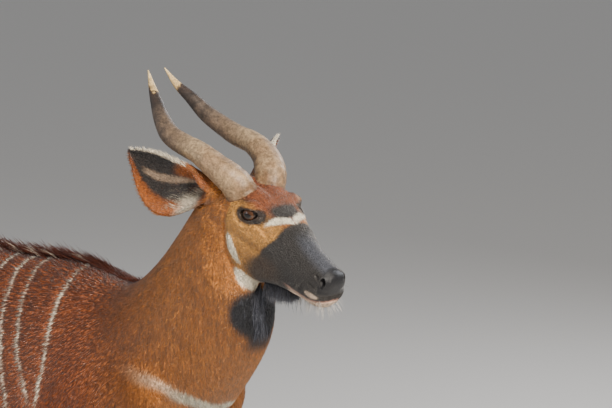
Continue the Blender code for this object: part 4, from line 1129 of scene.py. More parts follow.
def face_colours(points, colours):
    """The head's markings, by place in the head's frame."""
    h = into(HEAD, points)
    x, y, z = h[:, 0], np.abs(h[:, 1]), h[:, 2]
    on_head = smooth_step(0.0, 0.05, x + 0.35 * (z + 0.08)) * smooth_step(-0.32, -0.28, z)
    face = smooth_step(0.0, 0.006, x - np.interp(-z, *FACE_EDGE))
    tan = face * smooth_step(0.030, 0.012, z) * smooth_step(0.024, 0.036, y) * smooth_step(-0.195, -0.175, z)
    colours = mixed(colours, CHEEK_TAN, tan)
    brow = smooth_step(0.000, 0.022, z + 0.35 * (0.050 - y)) * smooth_step(0.030, 0.050, x)
    colours = mixed(colours, FOREHEAD_RED, brow * smooth_step(0.225, 0.205, x))
    over_eye = np.exp(-(((x - 0.128) / 0.030) ** 2) - ((z - 0.012) / 0.010) ** 2)
    colours = mixed(colours, CHEEK_TAN, 0.8 * over_eye * (y > 0.055))
    # Painted shade on the brow under the horn's base, behind and above the eye.
    brow_shade = np.exp(-(((x - 0.100) / 0.026) ** 2) - ((y - 0.062) / 0.012) ** 2) * smooth_step(0.006, 0.018, z)
    colours = mixed(colours, MUZZLE_GREY, 0.75 * brow_shade)
    # The dark muzzle, browner along the jaw.
    edge = np.interp(-z, *MUZZLE_EDGE)
    soft = 0.004 + 0.016 * smooth_step(-0.05, -0.10, z)
    upper = smooth_step(-0.200, -0.180, z)
    dark = smooth_step(-1.0, 1.0, (x - edge) / soft) * upper
    jaw = smooth_step(-0.045, -0.085, z) * smooth_step(0.27, 0.21, x)
    colours = mixed(colours, MUZZLE_GREY, dark)
    colours = mixed(colours, JAW_BROWN, dark * jaw * 0.75)
    # The dark band over the nose, with the pale chevron in front of it.
    ahead, aside = np.maximum(np.abs(x - 0.186) - 0.010, 0), np.maximum(y - 0.022, 0)
    band = np.exp(-((ahead / 0.010) ** 2) - (aside / 0.014) ** 2)
    colours = mixed(colours, MUZZLE_GREY, 1.1 * band * smooth_step(-0.01, 0.01, z))
    line, _ = line_distance(np.column_stack((x, y, z)), EYE_LINE)
    colours = mixed(colours, MUZZLE_GREY, 0.8 * smooth_step(0.008, 0.002, line))
    middle = 0.2145 - 0.50 * y
    arm = 0.0078 * smooth_step(0.056, 0.030, y) * smooth_step(0.0, 0.0030, y) + 0.0002
    chevron = smooth_step(0.0022, -0.0012, np.abs(x - middle) - arm) * smooth_step(0.056, 0.050, y) * (z > -0.03)
    colours = mixed(colours, CREAM, chevron)
    # A painted bluish highlight along the top of the nose, where the light catches it.
    blue = smooth_step(0.030, 0.012, y) * smooth_step(0.23, 0.28, x) * smooth_step(-0.07, -0.03, z)
    colours = mixed(colours, RIDGE_HIGHLIGHT_BLUE, blue * 0.7)
    for middle_x, middle_z, half_long, half_wide, tilt in CHEEK_SPOTS:
        turn = math.radians(tilt)
        along = (x - middle_x) * math.cos(turn) - (z - middle_z) * math.sin(turn)
        aside = (x - middle_x) * math.sin(turn) + (z - middle_z) * math.cos(turn)
        spot = smooth_step(1.12, 0.90, np.hypot(along / half_long, aside / half_wide)) * (y > 0.012)
        colours = mixed(colours, CREAM, spot * smooth_step(0.0, 0.02, x))
    # The black of throat and jaw.
    throat = np.hypot((x - 0.212) / 0.064, (z + 0.214) / 0.060)
    below = smooth_step(1.12, 0.86, throat) * smooth_step(-0.150, -0.168, z + 0.25 * (x - 0.2))
    colours = mixed(colours, BLUE_BLACK, below)
    under_jaw = smooth_step(-0.100, -0.125, z) * smooth_step(0.15, 0.20, x) * smooth_step(0.042, 0.028, y)
    colours = mixed(colours, BLUE_BLACK, under_jaw * 0.9)
    # The pale chin and lips, and the bare nose.
    lip = mouth_height(x, y)
    pale_low = smooth_step(0.262, 0.285, x) * smooth_step(0.003, -0.001, z - lip) * smooth_step(-0.135, -0.122, z)
    patch = np.hypot((x - 0.343) / 0.017, (z + 0.0820) / 0.0058)
    colours = mixed(colours, LIP_PALE, smooth_step(1.15, 0.8, patch) * smooth_step(0.018, 0.026, y) * 0.85)
    colours = mixed(colours, LIP_PALE, pale_low)
    pink = smooth_step(0.0045, 0.0015, np.abs(z - lip)) * smooth_step(0.255, 0.275, x)
    colours = mixed(colours, LIP_PINK, pink * 0.8)
    nose = smooth_step(0.345, 0.358, x + 0.20 * (0.03 - y)) * smooth_step(-0.076, -0.070, z)
    colours = mixed(colours, NOSE_BLACK, nose)
    for side in (-1, 1):
        local, ring = round_eye(points, side)
        long_way = np.hypot((local[:, 0] - 0.006) / (OPENING[0] * 1.52), local[:, 1] / (OPENING[1] * 1.16))
        rim = np.maximum(smooth_step(1.42, 1.16, ring), smooth_step(1.12, 0.92, long_way)) * (local[:, 2] > 0)
        colours = mixed(colours, NOSE_BLACK, rim * 0.95)
        above = (local[:, 2] > 0) * smooth_step(0.3, 1.0, local[:, 1] / OPENING[1])
        colours = mixed(colours, EYE_RING_TAN, smooth_step(0.26, 0.0, np.abs(ring - 1.75)) * above * 0.35)
    return colours, on_head


def round_eye(points, side):
    """The points in the eye's frame, and how far out each lies, with 1 at the lids' edge."""
    local = into(eye_frame(side), points)
    return local, np.hypot(local[:, 0] / (OPENING[0] * 1.08), local[:, 1] / OPENING[1])


def mouth_height(x, y):
    """The height of the mouth's line in the head's frame."""
    turn = np.abs(np.arctan2(y, x - MOUTH_PLACE))
    return MOUTH_HEIGHT - MOUTH_DROP * np.abs(np.sin(turn / 1.45)) ** 1.5


def ear_colours(points, colours):
    """Chestnut outside, dark inside with a pale band, cream at the rims."""
    for side in (-1, 1):
        local = into(ear_frame(side), points)
        along = local[:, 0] / EAR_LENGTH
        half, thick, back, down = ear_size(along)
        across = (local[:, 1] + side * down) / half
        out = (local[:, 2] + back) / thick
        leaf = (along > 0.07) & (along < 1.06) & (np.abs(across) < 1.2) & (np.abs(out) < 1.6)
        leaf &= np.abs(into(HEAD, points)[:, 1]) > EAR_CLEAR
        inside = smooth_step(-0.75, -0.45, out) * smooth_step(1.00, 0.90, np.abs(across))
        inside = inside * smooth_step(0.12, 0.22, along) * hollow_side(local, side)
        colour = np.tile(EAR_CHESTNUT, (len(points), 1))
        colour = mixed(colour, SPINE_BROWN, smooth_step(0.75, 0.98, along) * 0.6)
        upward = across * side
        dark = inside * smooth_step(-0.62, -0.40, upward)
        front = smooth_step(0.35, 0.60, upward) * smooth_step(0.56, 0.44, along)
        colour = mixed(colour, EAR_GREY, dark * (1 - front))
        band = smooth_step(0.19, 0.07, np.abs(upward - 0.41 + 1.07 * (along - 0.33)))
        colour = mixed(colour, EAR_PALE, dark * band * smooth_step(0.84, 0.74, along) * (1 - front) * 0.8)
        low = smooth_step(0.40, 0.26, along) * smooth_step(-0.20, -0.50, upward) * inside
        colour = mixed(colour, CREAM, low * 0.85)
        rim = smooth_step(0.88, 0.97, upward) * smooth_step(0.42, 0.55, along)
        colour = mixed(colour, CREAM, rim * 0.9)
        share = leaf * smooth_step(0.07, 0.16, along)
        colours = colours + (colour - colours) * share[:, None]
    return colours


def hollow_side(local, side):
    """1 on the cup's inner wall, where the ear's middle surface lies outwards of the point."""
    along = local[:, 0] / EAR_LENGTH
    half, thick, back, down = ear_size(along)
    across = np.clip(np.abs(local[:, 1] + side * down) / half, 0, 1)
    back_wall = -thick * np.sqrt(1 - across ** 2) - back
    return smooth_step(0.2, 0.7, (local[:, 2] - back_wall) / ear_wall(along))


def coat_colours(points):
    """The markings of skin and coat at these places."""
    colours = leg_colours(points, body_colours(points))
    faced, on_head = face_colours(points, colours)
    colours = colours + (faced - colours) * on_head[:, None]
    colours = ear_colours(points, colours)
    tail = (points[:, 0] < -0.60) & (np.abs(points[:, 1]) < 0.04) & (points[:, 2] < 1.0)
    return mixed(colours, BLUE_BLACK, tail * smooth_step(0.72, 0.64, points[:, 2]))


def bare(points):
    """1 on the hairless skin: nose pad, lips' edge and lids' edge."""
    h = into(HEAD, points)
    x, y, z = h[:, 0], np.abs(h[:, 1]), h[:, 2]
    nose = smooth_step(0.348, 0.362, x + 0.20 * (0.03 - y)) * smooth_step(-0.078, -0.070, z)
    lips = smooth_step(0.0032, 0.0015, np.abs(z - mouth_height(x, y))) * smooth_step(0.26, 0.28, x)
    share = np.maximum(nose, lips)
    for side in (-1, 1):
        local, ring = round_eye(points, side)
        share = np.maximum(share, smooth_step(1.22, 1.08, ring) * (local[:, 2] > 0))
    return share


# ---------------------------------------------------------------- the coat

# How the hair lies, on the left: a place, and the way from root to tip there.
LIE = [
    ((0.66, 0.10, 1.22), (-0.30, 0.02, -1.0)),
    ((0.58, 0.14, 1.10), (-0.42, 0.05, -1.0)),
    ((0.80, 0.08, 1.20), (-0.22, 0.0, -1.0)),
    ((0.84, 0.03, 1.08), (-0.10, 0.0, -1.0)),
    ((0.78, 0.04, 0.98), (0.05, 0.0, -1.0)),
    ((0.70, 0.08, 0.90), (0.10, -0.2, -1.0)),
    ((0.56, 0.05, 1.24), (-0.75, 0.0, -0.55)),
    ((0.62, 0.0, 1.29), (-0.7, 0.0, -0.7)),
    ((0.45, 0.16, 1.05), (-0.65, 0.05, -0.80)),
    ((0.45, 0.17, 0.85), (-0.30, 0.0, -1.0)),
    ((0.30, 0.18, 1.00), (-0.85, 0.05, -0.55)),
    ((0.40, 0.0, 1.16), (-1.0, 0.0, 0.0)),
    ((0.0, 0.0, 1.15), (-1.0, 0.0, 0.0)),
    ((-0.40, 0.0, 1.17), (-1.0, 0.0, -0.1)),
    ((0.10, 0.22, 0.90), (-0.90, 0.0, -0.45)),
    ((-0.15, 0.22, 0.90), (-0.90, 0.0, -0.45)),
    ((0.05, 0.15, 0.62), (-0.90, -0.2, -0.25)),
    ((-0.15, 0.10, 0.58), (-0.90, -0.2, -0.1)),
    ((0.30, 0.10, 0.60), (-0.80, 0.0, -0.5)),
    ((-0.40, 0.19, 1.00), (-0.70, 0.0, -0.75)),
    ((-0.45, 0.19, 0.80), (-0.40, 0.0, -1.0)),
    ((-0.62, 0.08, 0.95), (-0.15, 0.1, -1.0)),
    ((-0.45, 0.16, 0.60), (-0.35, 0.0, -1.0)),
    ((-0.53, 0.12, 0.45), (-0.10, 0.0, -1.0)),
    ((-0.53, 0.12, 0.20), (-0.05, 0.0, -1.0)),
    ((0.40, 0.13, 0.55), (-0.10, 0.0, -1.0)),
    ((0.40, 0.12, 0.30), (-0.05, 0.0, -1.0)),
    ((0.41, 0.11, 0.08), (0.10, 0.0, -1.0)),
]

# The same on the head, in the head's own frame.
FACE_LIE = [
    ((0.35, 0.02, -0.03), (-1.0, 0.25, 0.1)),
    ((0.30, 0.04, -0.06), (-1.0, 0.1, -0.25)),
    ((0.34, 0.03, -0.10), (-0.6, 0.1, -0.8)),
    ((0.24, 0.01, 0.0), (-1.0, 0.35, 0.1)),
    ((0.24, 0.05, -0.07), (-1.0, 0.1, -0.35)),
    ((0.20, 0.06, -0.05), (-1.0, 0.1, -0.25)),
    ((0.16, 0.02, 0.02), (-1.0, 0.35, 0.25)),
    ((0.11, 0.02, 0.03), (-1.0, 0.2, 0.3)),
    ((0.17, 0.07, 0.01), (-1.0, 0.2, 0.2)),
    ((0.12, 0.08, -0.06), (-0.8, 0.0, -0.6)),
    ((0.16, 0.07, -0.12), (-0.5, 0.0, -0.9)),
    ((0.22, 0.04, -0.13), (-0.5, 0.0, -0.8)),
    ((0.06, 0.08, -0.06), (-0.7, 0.1, -0.7)),
    ((0.06, 0.08, -0.14), (-0.3, 0.0, -1.0)),
    ((0.02, 0.03, 0.01), (-1.0, 0.0, 0.1)),
]


def lie(points, outward):
    """The way the hair lies at each point, along the skin."""
    mirror = np.ones_like(points)
    mirror[:, 1] = np.where(points[:, 1] < 0, -1, 1)
    turn, _ = rows_of(HEAD)
    anchors, ways, reach = [], [], []
    for place, way in LIE:
        anchors.append(place)
        ways.append(unit(np.array(way, float)))
        reach.append(0.10)
    straight = np.array(HEAD.translation) * (1, 0, 1)
    for place, way in FACE_LIE:
        anchors.append(np.array(place) @ turn.T + straight)
        ways.append(unit(np.array(way, float)) @ turn.T)
        reach.append(0.03)
    folded = points * mirror
    total = np.zeros_like(points)
    for anchor, way, near in zip(anchors, ways, reach):
        away = np.linalg.norm(folded - anchor, axis=1)
        total += way * (1 / (away / near + 0.15) ** 4)[:, None]
    total *= mirror
    leaf = on_ear(points)
    for side in (-1, 1):
        local = into(ear_frame(side), points)
        along = local[:, 0] / EAR_LENGTH
        own = smooth_step(0.05, 0.16, along) * leaf * (points[:, 1] * side > -0.02)
        axis = np.array(ear_frame(side).to_3x3().col[0])
        total = unit(total) * (1 - own)[:, None] + axis * own[:, None]
    total = unit(total)
    total -= outward * np.sum(total * outward, axis=1, keepdims=True)
    return unit(total)


def skin_samples(skin):
    """The skin's triangles: corners, ways out, areas and the middle of each on the OFBake map."""
    mesh = skin.data
    mesh.calc_loop_triangles()
    count = len(mesh.loop_triangles)
    corners = np.empty(count * 3, dtype=np.int32)
    mesh.loop_triangles.foreach_get("vertices", corners)
    loops = np.empty(count * 3, dtype=np.int32)
    mesh.loop_triangles.foreach_get("loops", loops)
    spots = np.empty(len(mesh.loops) * 2)
    mesh.uv_layers["OFBake"].data.foreach_get("uv", spots)
    points = places(mesh)[corners.reshape(-1, 3)]
    outward = normals(mesh)[corners.reshape(-1, 3)]
    flat = spots.reshape(-1, 2)[loops.reshape(-1, 3)]
    sides = np.cross(points[:, 1] - points[:, 0], points[:, 2] - points[:, 0])
    return {"points": points, "outward": outward, "flat": flat, "areas": np.linalg.norm(sides, axis=1) / 2}


def rooted(samples, weight, count):
    """Roots spread over the skin by the weight of each triangle: place, way out and place on the map."""
    share = samples["areas"] * weight
    steps = (np.arange(count) + CHANCE.uniform(0, 1, count)) / count
    chosen = np.searchsorted(np.cumsum(share) / share.sum(), steps)
    chosen = np.minimum(chosen, len(share) - 1)
    a, b = CHANCE.uniform(0, 1, (2, count))
    over = a + b > 1
    a, b = np.where(over, 1 - a, a), np.where(over, 1 - b, b)
    mix = np.stack((1 - a - b, a, b), axis=1)[:, :, None]
    return (
        (samples["points"][chosen] * mix).sum(1),
        unit((samples["outward"][chosen] * mix).sum(1)),
        (samples["flat"][chosen] * mix).sum(1),
    )


# A hair's patch on the OFBake map, and how deep its root sits in the skin.
PATCH = 0.003
ROOT_DEPTH = 0.0006


def hair_mesh(name, rings, tips, roots_flat, colours):
    """Closed three-sided hairs from arrays: rings is hairs x rows x 3 x 3, tips hairs x 3, colours by row."""
    hairs, rows = rings.shape[:2]
    points = np.concatenate((rings.reshape(hairs, rows * 3, 3), tips[:, None]), axis=1)
    faces = [(2, 1, 0)]
    for row in range(rows - 1):
        for corner in range(3):
            a, b = row * 3 + corner, row * 3 + (corner + 1) % 3
            faces += [(a, b, b + 3), (a, b + 3, a + 3)]
    last = (rows - 1) * 3
    faces += [(last + c, last + (c + 1) % 3, rows * 3) for c in range(3)]
    faces = np.array(faces)
    each = rows * 3 + 1
    whole = (faces[None] + (np.arange(hairs) * each)[:, None, None]).reshape(-1, 3)
    mesh = bpy.data.meshes.new(name)
    mesh.vertices.add(hairs * each)
    mesh.vertices.foreach_set("co", points.ravel())
    mesh.loops.add(whole.size)
    mesh.loops.foreach_set("vertex_index", whole.ravel().astype(np.int32))
    mesh.polygons.add(len(whole))
    mesh.polygons.foreach_set("loop_start", np.arange(0, whole.size, 3, dtype=np.int32))
    made = new_object(name, mesh)
    by_point = np.concatenate((np.repeat(colours[:, :-1], 3, axis=1), colours[:, -1:]), axis=1)
    write_colour(made, "marking", by_point.reshape(-1, 3))
    level = np.append(np.repeat(np.arange(rows) / rows, 3), 1.0)
    across = np.append(np.tile((0.0, 1.0, 0.5), rows), 0.5)
    patch = np.stack((across - 0.5, level - 0.5), axis=1) * PATCH
    spots = roots_flat[:, None] + patch[faces.ravel()][None]
    layer = mesh.uv_layers.new(name="OFBake")
    layer.data.foreach_set("uv", spots.ravel())
    mesh.update()
    mesh.validate()
    return made


def short_hair(name, roots, length, width, rise, wander=0.16):
    """Flat four-sided tufts that lie along the skin and rise to the coat's depth at their tips."""
    points, outward, flat = roots
    count = len(points)
    way = lie(points, outward)
    across = np.cross(outward, way)
    way = unit(way + across * CHANCE.normal(0, wander, count)[:, None])
    across = np.cross(outward, way)
    size = CHANCE.uniform(0.75, 1.25, count)[:, None]
    long = length[:, None] * size if np.ndim(length) else length * size
    # Hairs of a stripe, and those that would lie over it, are short, so that its edges stay clean.
    stripe = np.maximum(striped(points), striped(points + way * long * 0.6))
    long = long * (1 - 0.60 * stripe[:, None])
    half = width / 2 * CHANCE.uniform(0.75, 1.25, count)[:, None]
    lift = rise[:, None] if np.ndim(rise) else rise
    base = points - outward * ROOT_DEPTH
    thick = 0.30 * half + 0.0004
    ridge = base + outward * (thick + ROOT_DEPTH)
    ring = np.stack((base - across * half, base + across * half, ridge), axis=1)
    tips = points + way * long + outward * lift * CHANCE.uniform(0.5, 1.15, count)[:, None]
    shade = CHANCE.normal(1.0, 0.17, count)[:, None]
    astray = CHANCE.normal(0, 0.0010, (count, 3))
    # Painted shade darkens each tuft at its root, under the coat that lies over it, and painted light brightens
    # its tip.
    at_root = coat_colours(points + astray) * shade * 0.80
    at_tip = coat_colours(points + way * long * 0.3 + astray) * shade * 1.22
    rows = np.clip(np.stack((at_root, at_tip), axis=1), 0, 1)
    return hair_mesh(name, ring[:, None], tips, flat, rows)


def long_hair(name, roots, ways, length, width, rows, bend, colour, tip_colour, taper=0.9):
    """Curved tapering hairs: each leaves its root by its way and is carried by its bend at the tip."""
    points, outward, flat = roots
    count = len(points)
    aside = unit(np.cross(ways, outward + CHANCE.normal(0, 0.2, (count, 3))))
    other = unit(np.cross(ways, aside))
    rings = []
    for row in range(rows):
        t = row / rows
        middle = points + ways * (length * t)[:, None] + bend * t * t
        half = width / 2 * (1 - taper * t ** 1.3)
        ring = [middle + (aside * math.cos(a) + other * math.sin(a) * 0.6) * half for a in (0.3, 2.4, 4.5)]
        rings.append(np.stack(ring, axis=1))
    tips = points + ways * length[:, None] + bend
    shares = np.linspace(0, 1, rows + 1)[None, :, None]
    colours = np.clip(colour[:, None] * (1 - shares) + tip_colour[:, None] * shares, 0, 1)
    return hair_mesh(name, np.stack(rings, axis=1), tips, flat, colours)


def zones(points):
    """Which part of the coat each triangle belongs to."""
    leaf = on_ear(points)
    wander = CHANCE.normal(0, 0.022, len(points))
    nape_way = np.array(HEAD.to_3x3() @ Vector((0.83, 0.0, 0.56)))
    nape = (points - np.array(HEAD @ Vector((-0.020, 0.0, 0.0)))) @ nape_way
    head = (nape + 0.4 * wander > 0) & ~leaf
    x, y, z = points[:, 0], points[:, 1], points[:, 2]
    neck = ~head & ~leaf & (x * 0.866 + z * 0.5 + wander > 0.95)
    leg = ~head & ~neck & (z < 0.60) & ((x > 0.28) | (x < -0.315))
    tail = ~head & (x < -0.66) & (np.abs(y) < 0.04)
    trunk = ~(head | leaf | neck | leg | tail)
    return {
        "ears": leaf,
        "face": head,
        "neck_right": neck & (y < 0),
        "neck_left": neck & (y >= 0),
        "trunk_right": trunk & (y < 0),
        "trunk_left": trunk & (y >= 0),
        "legs": leg,
        "tail": tail,
    }


# Each part of the coat: its tufts, and their length, width and rise at the tip in metres.
COAT = {
    "ears": (26000, 0.0085, 0.0016, 0.0014),
    "face": (49000, 0.0068, 0.0015, 0.0012),
    "neck_right": (49000, 0.0170, 0.0028, 0.0044),
    "neck_left": (45000, 0.0170, 0.0030, 0.0044),
    "trunk_right": (49000, 0.0215, 0.0038, 0.0042),
    "trunk_left": (48000, 0.0215, 0.0039, 0.0042),
    "legs": (40000, 0.0110, 0.0024, 0.0014),
    "tail": (4000, 0.0160, 0.0026, 0.0030),
}


def build_coat(samples):
    """The short coat in its pieces, shorter and finer towards nose and feet."""
    middles = samples["points"].mean(axis=1)
    hairless = bare(middles) > 0.5
    made = []
    for name, chosen in zones(middles).items():
        count, length, width, rise = COAT[name]
        weight = (chosen & ~hairless).astype(float)
        if name == "face":
            weight = weight * (1 + 1.6 * smooth_step(0.10, 0.30, into(HEAD, middles)[:, 0]))
        roots = rooted(samples, weight, count)
        if name == "face":
            local = into(HEAD, roots[0])
            below = smooth_step(-0.165, -0.195, local[:, 2])
            ahead = local[:, 0] * (1 - below) + 0.02 * below
            length = np.interp(ahead, [0.03, 0.10, 0.20, 0.30, 0.36], [0.0165, 0.0085, 0.0065, 0.0048, 0.0034])
            width = np.interp(ahead, [0.03, 0.10, 0.36], [0.0028, 0.0017, 0.0011])[:, None]
            rise = np.interp(ahead, [0.03, 0.10, 0.36], [0.0042, 0.0015, 0.0008])
        if name == "legs":
            length = np.interp(roots[0][:, 2], [0.06, 0.30, 0.60], [0.008, 0.009, 0.017])
            rise = np.interp(roots[0][:, 2], [0.06, 0.40, 0.60], [0.0010, 0.0012, 0.0030])
        made.append(short_hair("coat_" + name, roots, length, width, rise))
    return made


# How many of each of the longer hairs are set out; those of ears and lids are for one side.
CREST_HAIRS = 2600
RUFF_HAIRS = 5200
TAIL_HAIRS = 1800
EAR_RIM_HAIRS = 700
EAR_INNER_HAIRS = 420
LASHES = 46
WHISKERS = 150
DOWN = np.array((0.0, 0.0, -1.0))


def map_places(mesh, faces):
    """The middle of each of these faces on the OFBake map."""
    layer = mesh.uv_layers["OFBake"].data
    loops = [mesh.polygons[face].loop_indices for face in faces]
    return np.array([np.mean([layer[loop].uv[:] for loop in own], axis=0) for own in loops])


def nearest_skin(skin, tree, points):
    """The way out and the OFBake place of the skin nearest to each point."""
    found = [tree.find_nearest(Vector(point)) for point in points]
    outward = np.array([normal for _, normal, _, _ in found])
    return outward, map_places(skin.data, [face for _, _, face, _ in found])


def level_ways(angle):
    """Level ways at these angles."""
    return np.stack((np.cos(angle), np.sin(angle), np.zeros(len(angle))), 1)


def varied(colour, low, high, count):
    """The colour for each hair, made darker or lighter at random."""
    return np.tile(colour, (count, 1)) * CHANCE.uniform(low, high, (count, 1))


def roots_at(tree, skin, starts, ways):
    """Roots where rays from the starts meet the skin, with each one's place on the OFBake map."""
    points, outward, faces, hit = [], [], [], []
    for number, (start, way) in enumerate(zip(starts, ways)):
        place, normal, face, _ = tree.ray_cast(Vector(start), Vector(way), 3.0)
        if place is None:
            continue
        points.append(place)
        outward.append(normal)
        faces.append(face)
        hit.append(number)
    return (np.array(points), np.array(outward), map_places(skin.data, faces)), np.array(hit)


def grow_crest(skin, tree):
    """Standing hair along the back, dark with cream where a stripe crosses."""
    count = CREST_HAIRS
    along = CHANCE.uniform(0, 1, count)
    starts = np.stack((0.50 - 1.05 * along, CHANCE.normal(0, 0.0055, count), np.full(count, 2.0)), axis=1)
    roots, hit = roots_at(tree, skin, starts, np.tile(DOWN, (count, 1)))
    along = along[hit]
    count = len(hit)
    side = roots[0][:, 1] / 0.006
    ways = np.stack((np.full(count, -0.84), 0.10 * side, np.full(count, 0.60)), 1)
    ways = unit(ways + CHANCE.normal(0, 0.09, (count, 3)))
    ends = np.minimum(1.0, 0.35 + 1.9 * np.sin(math.pi * along))
    length = 0.060 * ends * CHANCE.uniform(0.65, 1.12, count)
    bend = np.stack((np.full(count, -0.010), 0.004 * side, np.full(count, -0.010)), 1) * ends[:, None]
    colour = varied(SPINE_BROWN, 0.45, 1.0, count)
    white = striped(np.stack((roots[0][:, 0], np.full(count, 0.2), np.full(count, 1.12)), 1))
    tip = mixed(colour * 1.5, CREAM, white * 0.85)
    return long_hair("crest", roots, ways, length, 0.0022, 4, bend, mixed(colour, CREAM, white * 0.7), tip)


def grow_ruff(skin, tree):
    """The blue-black fringe that hangs from jaw and throat, with silvery tips to some of its hairs."""
    turn, _ = rows_of(HEAD)
    # One half grows under the jaw, and its rays come from below.
    jaw = RUFF_HAIRS // 2
    ahead = CHANCE.uniform(0.182, 0.262, jaw)
    aside = CHANCE.uniform(-1, 1, jaw)
    jaw_starts = out_of(HEAD, np.stack((ahead, 0.024 * aside, np.full(jaw, -0.26)), 1))
    jaw_ways = np.tile(-DOWN, (jaw, 1)) @ turn.T
    # The rest grows round the throat, and its rays come from all round.
    rest = RUFF_HAIRS - jaw
    wrap = CHANCE.uniform(-1, 1, rest)
    out = level_ways(HEAD_YAW + math.radians(122) * wrap)
    height = CHANCE.uniform(-0.280, -0.205 - 0.035 * np.abs(wrap), rest)
    middle = HEAD @ Vector((0.10, 0.0, 0.0))
    starts = np.stack((np.full(rest, middle.x), np.full(rest, middle.y), POLL.z + height), 1) + out * 0.13
    roots, hit = roots_at(tree, skin, np.concatenate((jaw_starts, starts)), np.concatenate((jaw_ways, -out)))
    count = len(hit)
    from_jaw = hit < jaw
    backwards = np.where(from_jaw[:, None], np.array((-0.10, 0.0, 0.0)), 0)
    spread_out = roots[1] * (1, 1, 0)
    ways = unit(DOWN + backwards + 0.42 * spread_out + CHANCE.normal(0, 0.08, (count, 3)))
    share = np.where(from_jaw, np.interp(into(HEAD, roots[0])[:, 0], [0.16, 0.26], [0.85, 0.45]), 0.95)
    wrapped = np.abs(np.concatenate((np.zeros(jaw), wrap)))[hit]
    share = share * np.interp(wrapped, [0.35, 0.95], [1.0, 0.35])
    length = 0.056 * share * CHANCE.uniform(0.45, 1.10, count)
    bend = -0.016 * spread_out + 0.003 * DOWN + CHANCE.normal(0, 0.004, (count, 3))
    colour = varied(BLUE_BLACK, 0.6, 1.5, count)
    tip = mixed(colour * 1.8, FRINGE_SILVER, CHANCE.uniform(0, 0.6, count))
    return long_hair("ruff", roots, ways, length, 0.0019, 4, bend, colour, tip)


def grow_tail_tuft(skin, tree):
    """The black tuft at the tail's end."""
    count = TAIL_HAIRS
    angle = CHANCE.uniform(0, 2 * math.pi, count)
    height = CHANCE.uniform(0.545, 0.675, count)
    out = level_ways(angle)
    starts = np.stack((np.full(count, -0.681), np.zeros(count), height), 1) + out * 0.05
    roots, hit = roots_at(tree, skin, starts, -out)
    out = out[hit]
    ways = unit(DOWN + 0.24 * out + CHANCE.normal(0, 0.05, (len(hit), 3)))
    length = CHANCE.uniform(0.085, 0.148, len(hit))
    colour = varied(BLUE_BLACK, 0.5, 1.1, len(hit))
    return long_hair("tail_tuft", roots, ways, length, 0.0022, 4, -0.022 * out, colour, colour * 1.5)


def grow_ear_hair(skin, tree, side, name):
    """Cream and orange fringe along the ear's edges and long pale hair inside its lower half."""
    points, ways, lengths, tones = [], [], [], []
    axis = np.array(ear_frame(side).to_3x3().col[0])
    for along in CHANCE.uniform(0.22, 1.0, EAR_RIM_HAIRS):
        edge = 1 if CHANCE.uniform() < 0.5 else -1
        half, thick, back, down = ear_size(along)
        place = ear_frame(side, along, back, down)
        lean = CHANCE.uniform(-0.20, 0.5)
        reach = edge * (half - 0.0015) * math.cos(lean * 0.4)
        points.append(place @ Vector((0.0, reach, thick * math.sin(lean))))
        ways.append(axis * 0.9 + np.array(place.to_3x3().col[1]) * edge * 0.55)
        lengths.append(CHANCE.uniform(0.006, 0.012))
        tones.append(CREAM if edge * side > 0 and along > 0.42 else EDGE_ORANGE)
    for along in CHANCE.uniform(0.12, 0.40, EAR_INNER_HAIRS):
        half, thick, back, down = ear_size(along)
        lower = -side * CHANCE.uniform(0.15, 0.92)
        place = ear_frame(side, along, back, down)
        wall = -thick * math.sqrt(1 - lower * lower) + 0.0045
        points.append(place @ Vector((0.0, lower * half, wall)))
        _, across, opening = (np.array(column) for column in place.to_3x3().col)
        ways.append(axis * 0.85 + opening * 0.35 + across * -lower * 0.30)
        lengths.append(CHANCE.uniform(0.014, 0.028))
        tones.append(CREAM)
    points, ways = np.array(points), unit(np.array(ways))
    outward, flat = nearest_skin(skin, tree, points)
    colour = np.array(tones) * CHANCE.uniform(0.7, 1.0, (len(points), 1))
    bend = CHANCE.normal(0, 0.0012, (len(points), 3))
    roots = (points - ways * 0.001, outward, flat)
    return long_hair(name, roots, ways, np.array(lengths), 0.0011, 3, bend, colour, colour)


def grow_lashes(skin, tree):
    """Dark lashes along the upper lids."""
    points, ways, lengths = [], [], []
    for side in (-1, 1):
        place = eye_frame(side)
        turn = np.array(place.to_3x3())
        for number in range(LASHES):
            angle = math.radians(18 + 144 * number / (LASHES - 1))
            x, y = lid_outline(angle, 1.02)
            z = math.sqrt((EYE_RADIUS + 0.0022) ** 2 - x * x - y * y)
            points.append(place @ Vector((x, y, z)))
            way = Vector((x / OPENING[0] * 0.55, 0.45, 0.85))
            ways.append(turn @ np.array(way))
            lengths.append(0.0095 - 0.0035 * abs(math.cos(angle)))
    points, ways, lengths = np.array(points), unit(np.array(ways)), np.array(lengths)
    lengths = lengths * CHANCE.uniform(0.8, 1.15, len(lengths))
    _, flat = nearest_skin(skin, tree, points)
    bend = 0.0030 * DOWN + CHANCE.normal(0, 0.0004, (len(points), 3))
    colour = np.tile(LASH_BLACK, (len(points), 1))
    return long_hair("lashes", (points, ways, flat), ways, lengths, 0.0007, 4, bend, colour, colour)


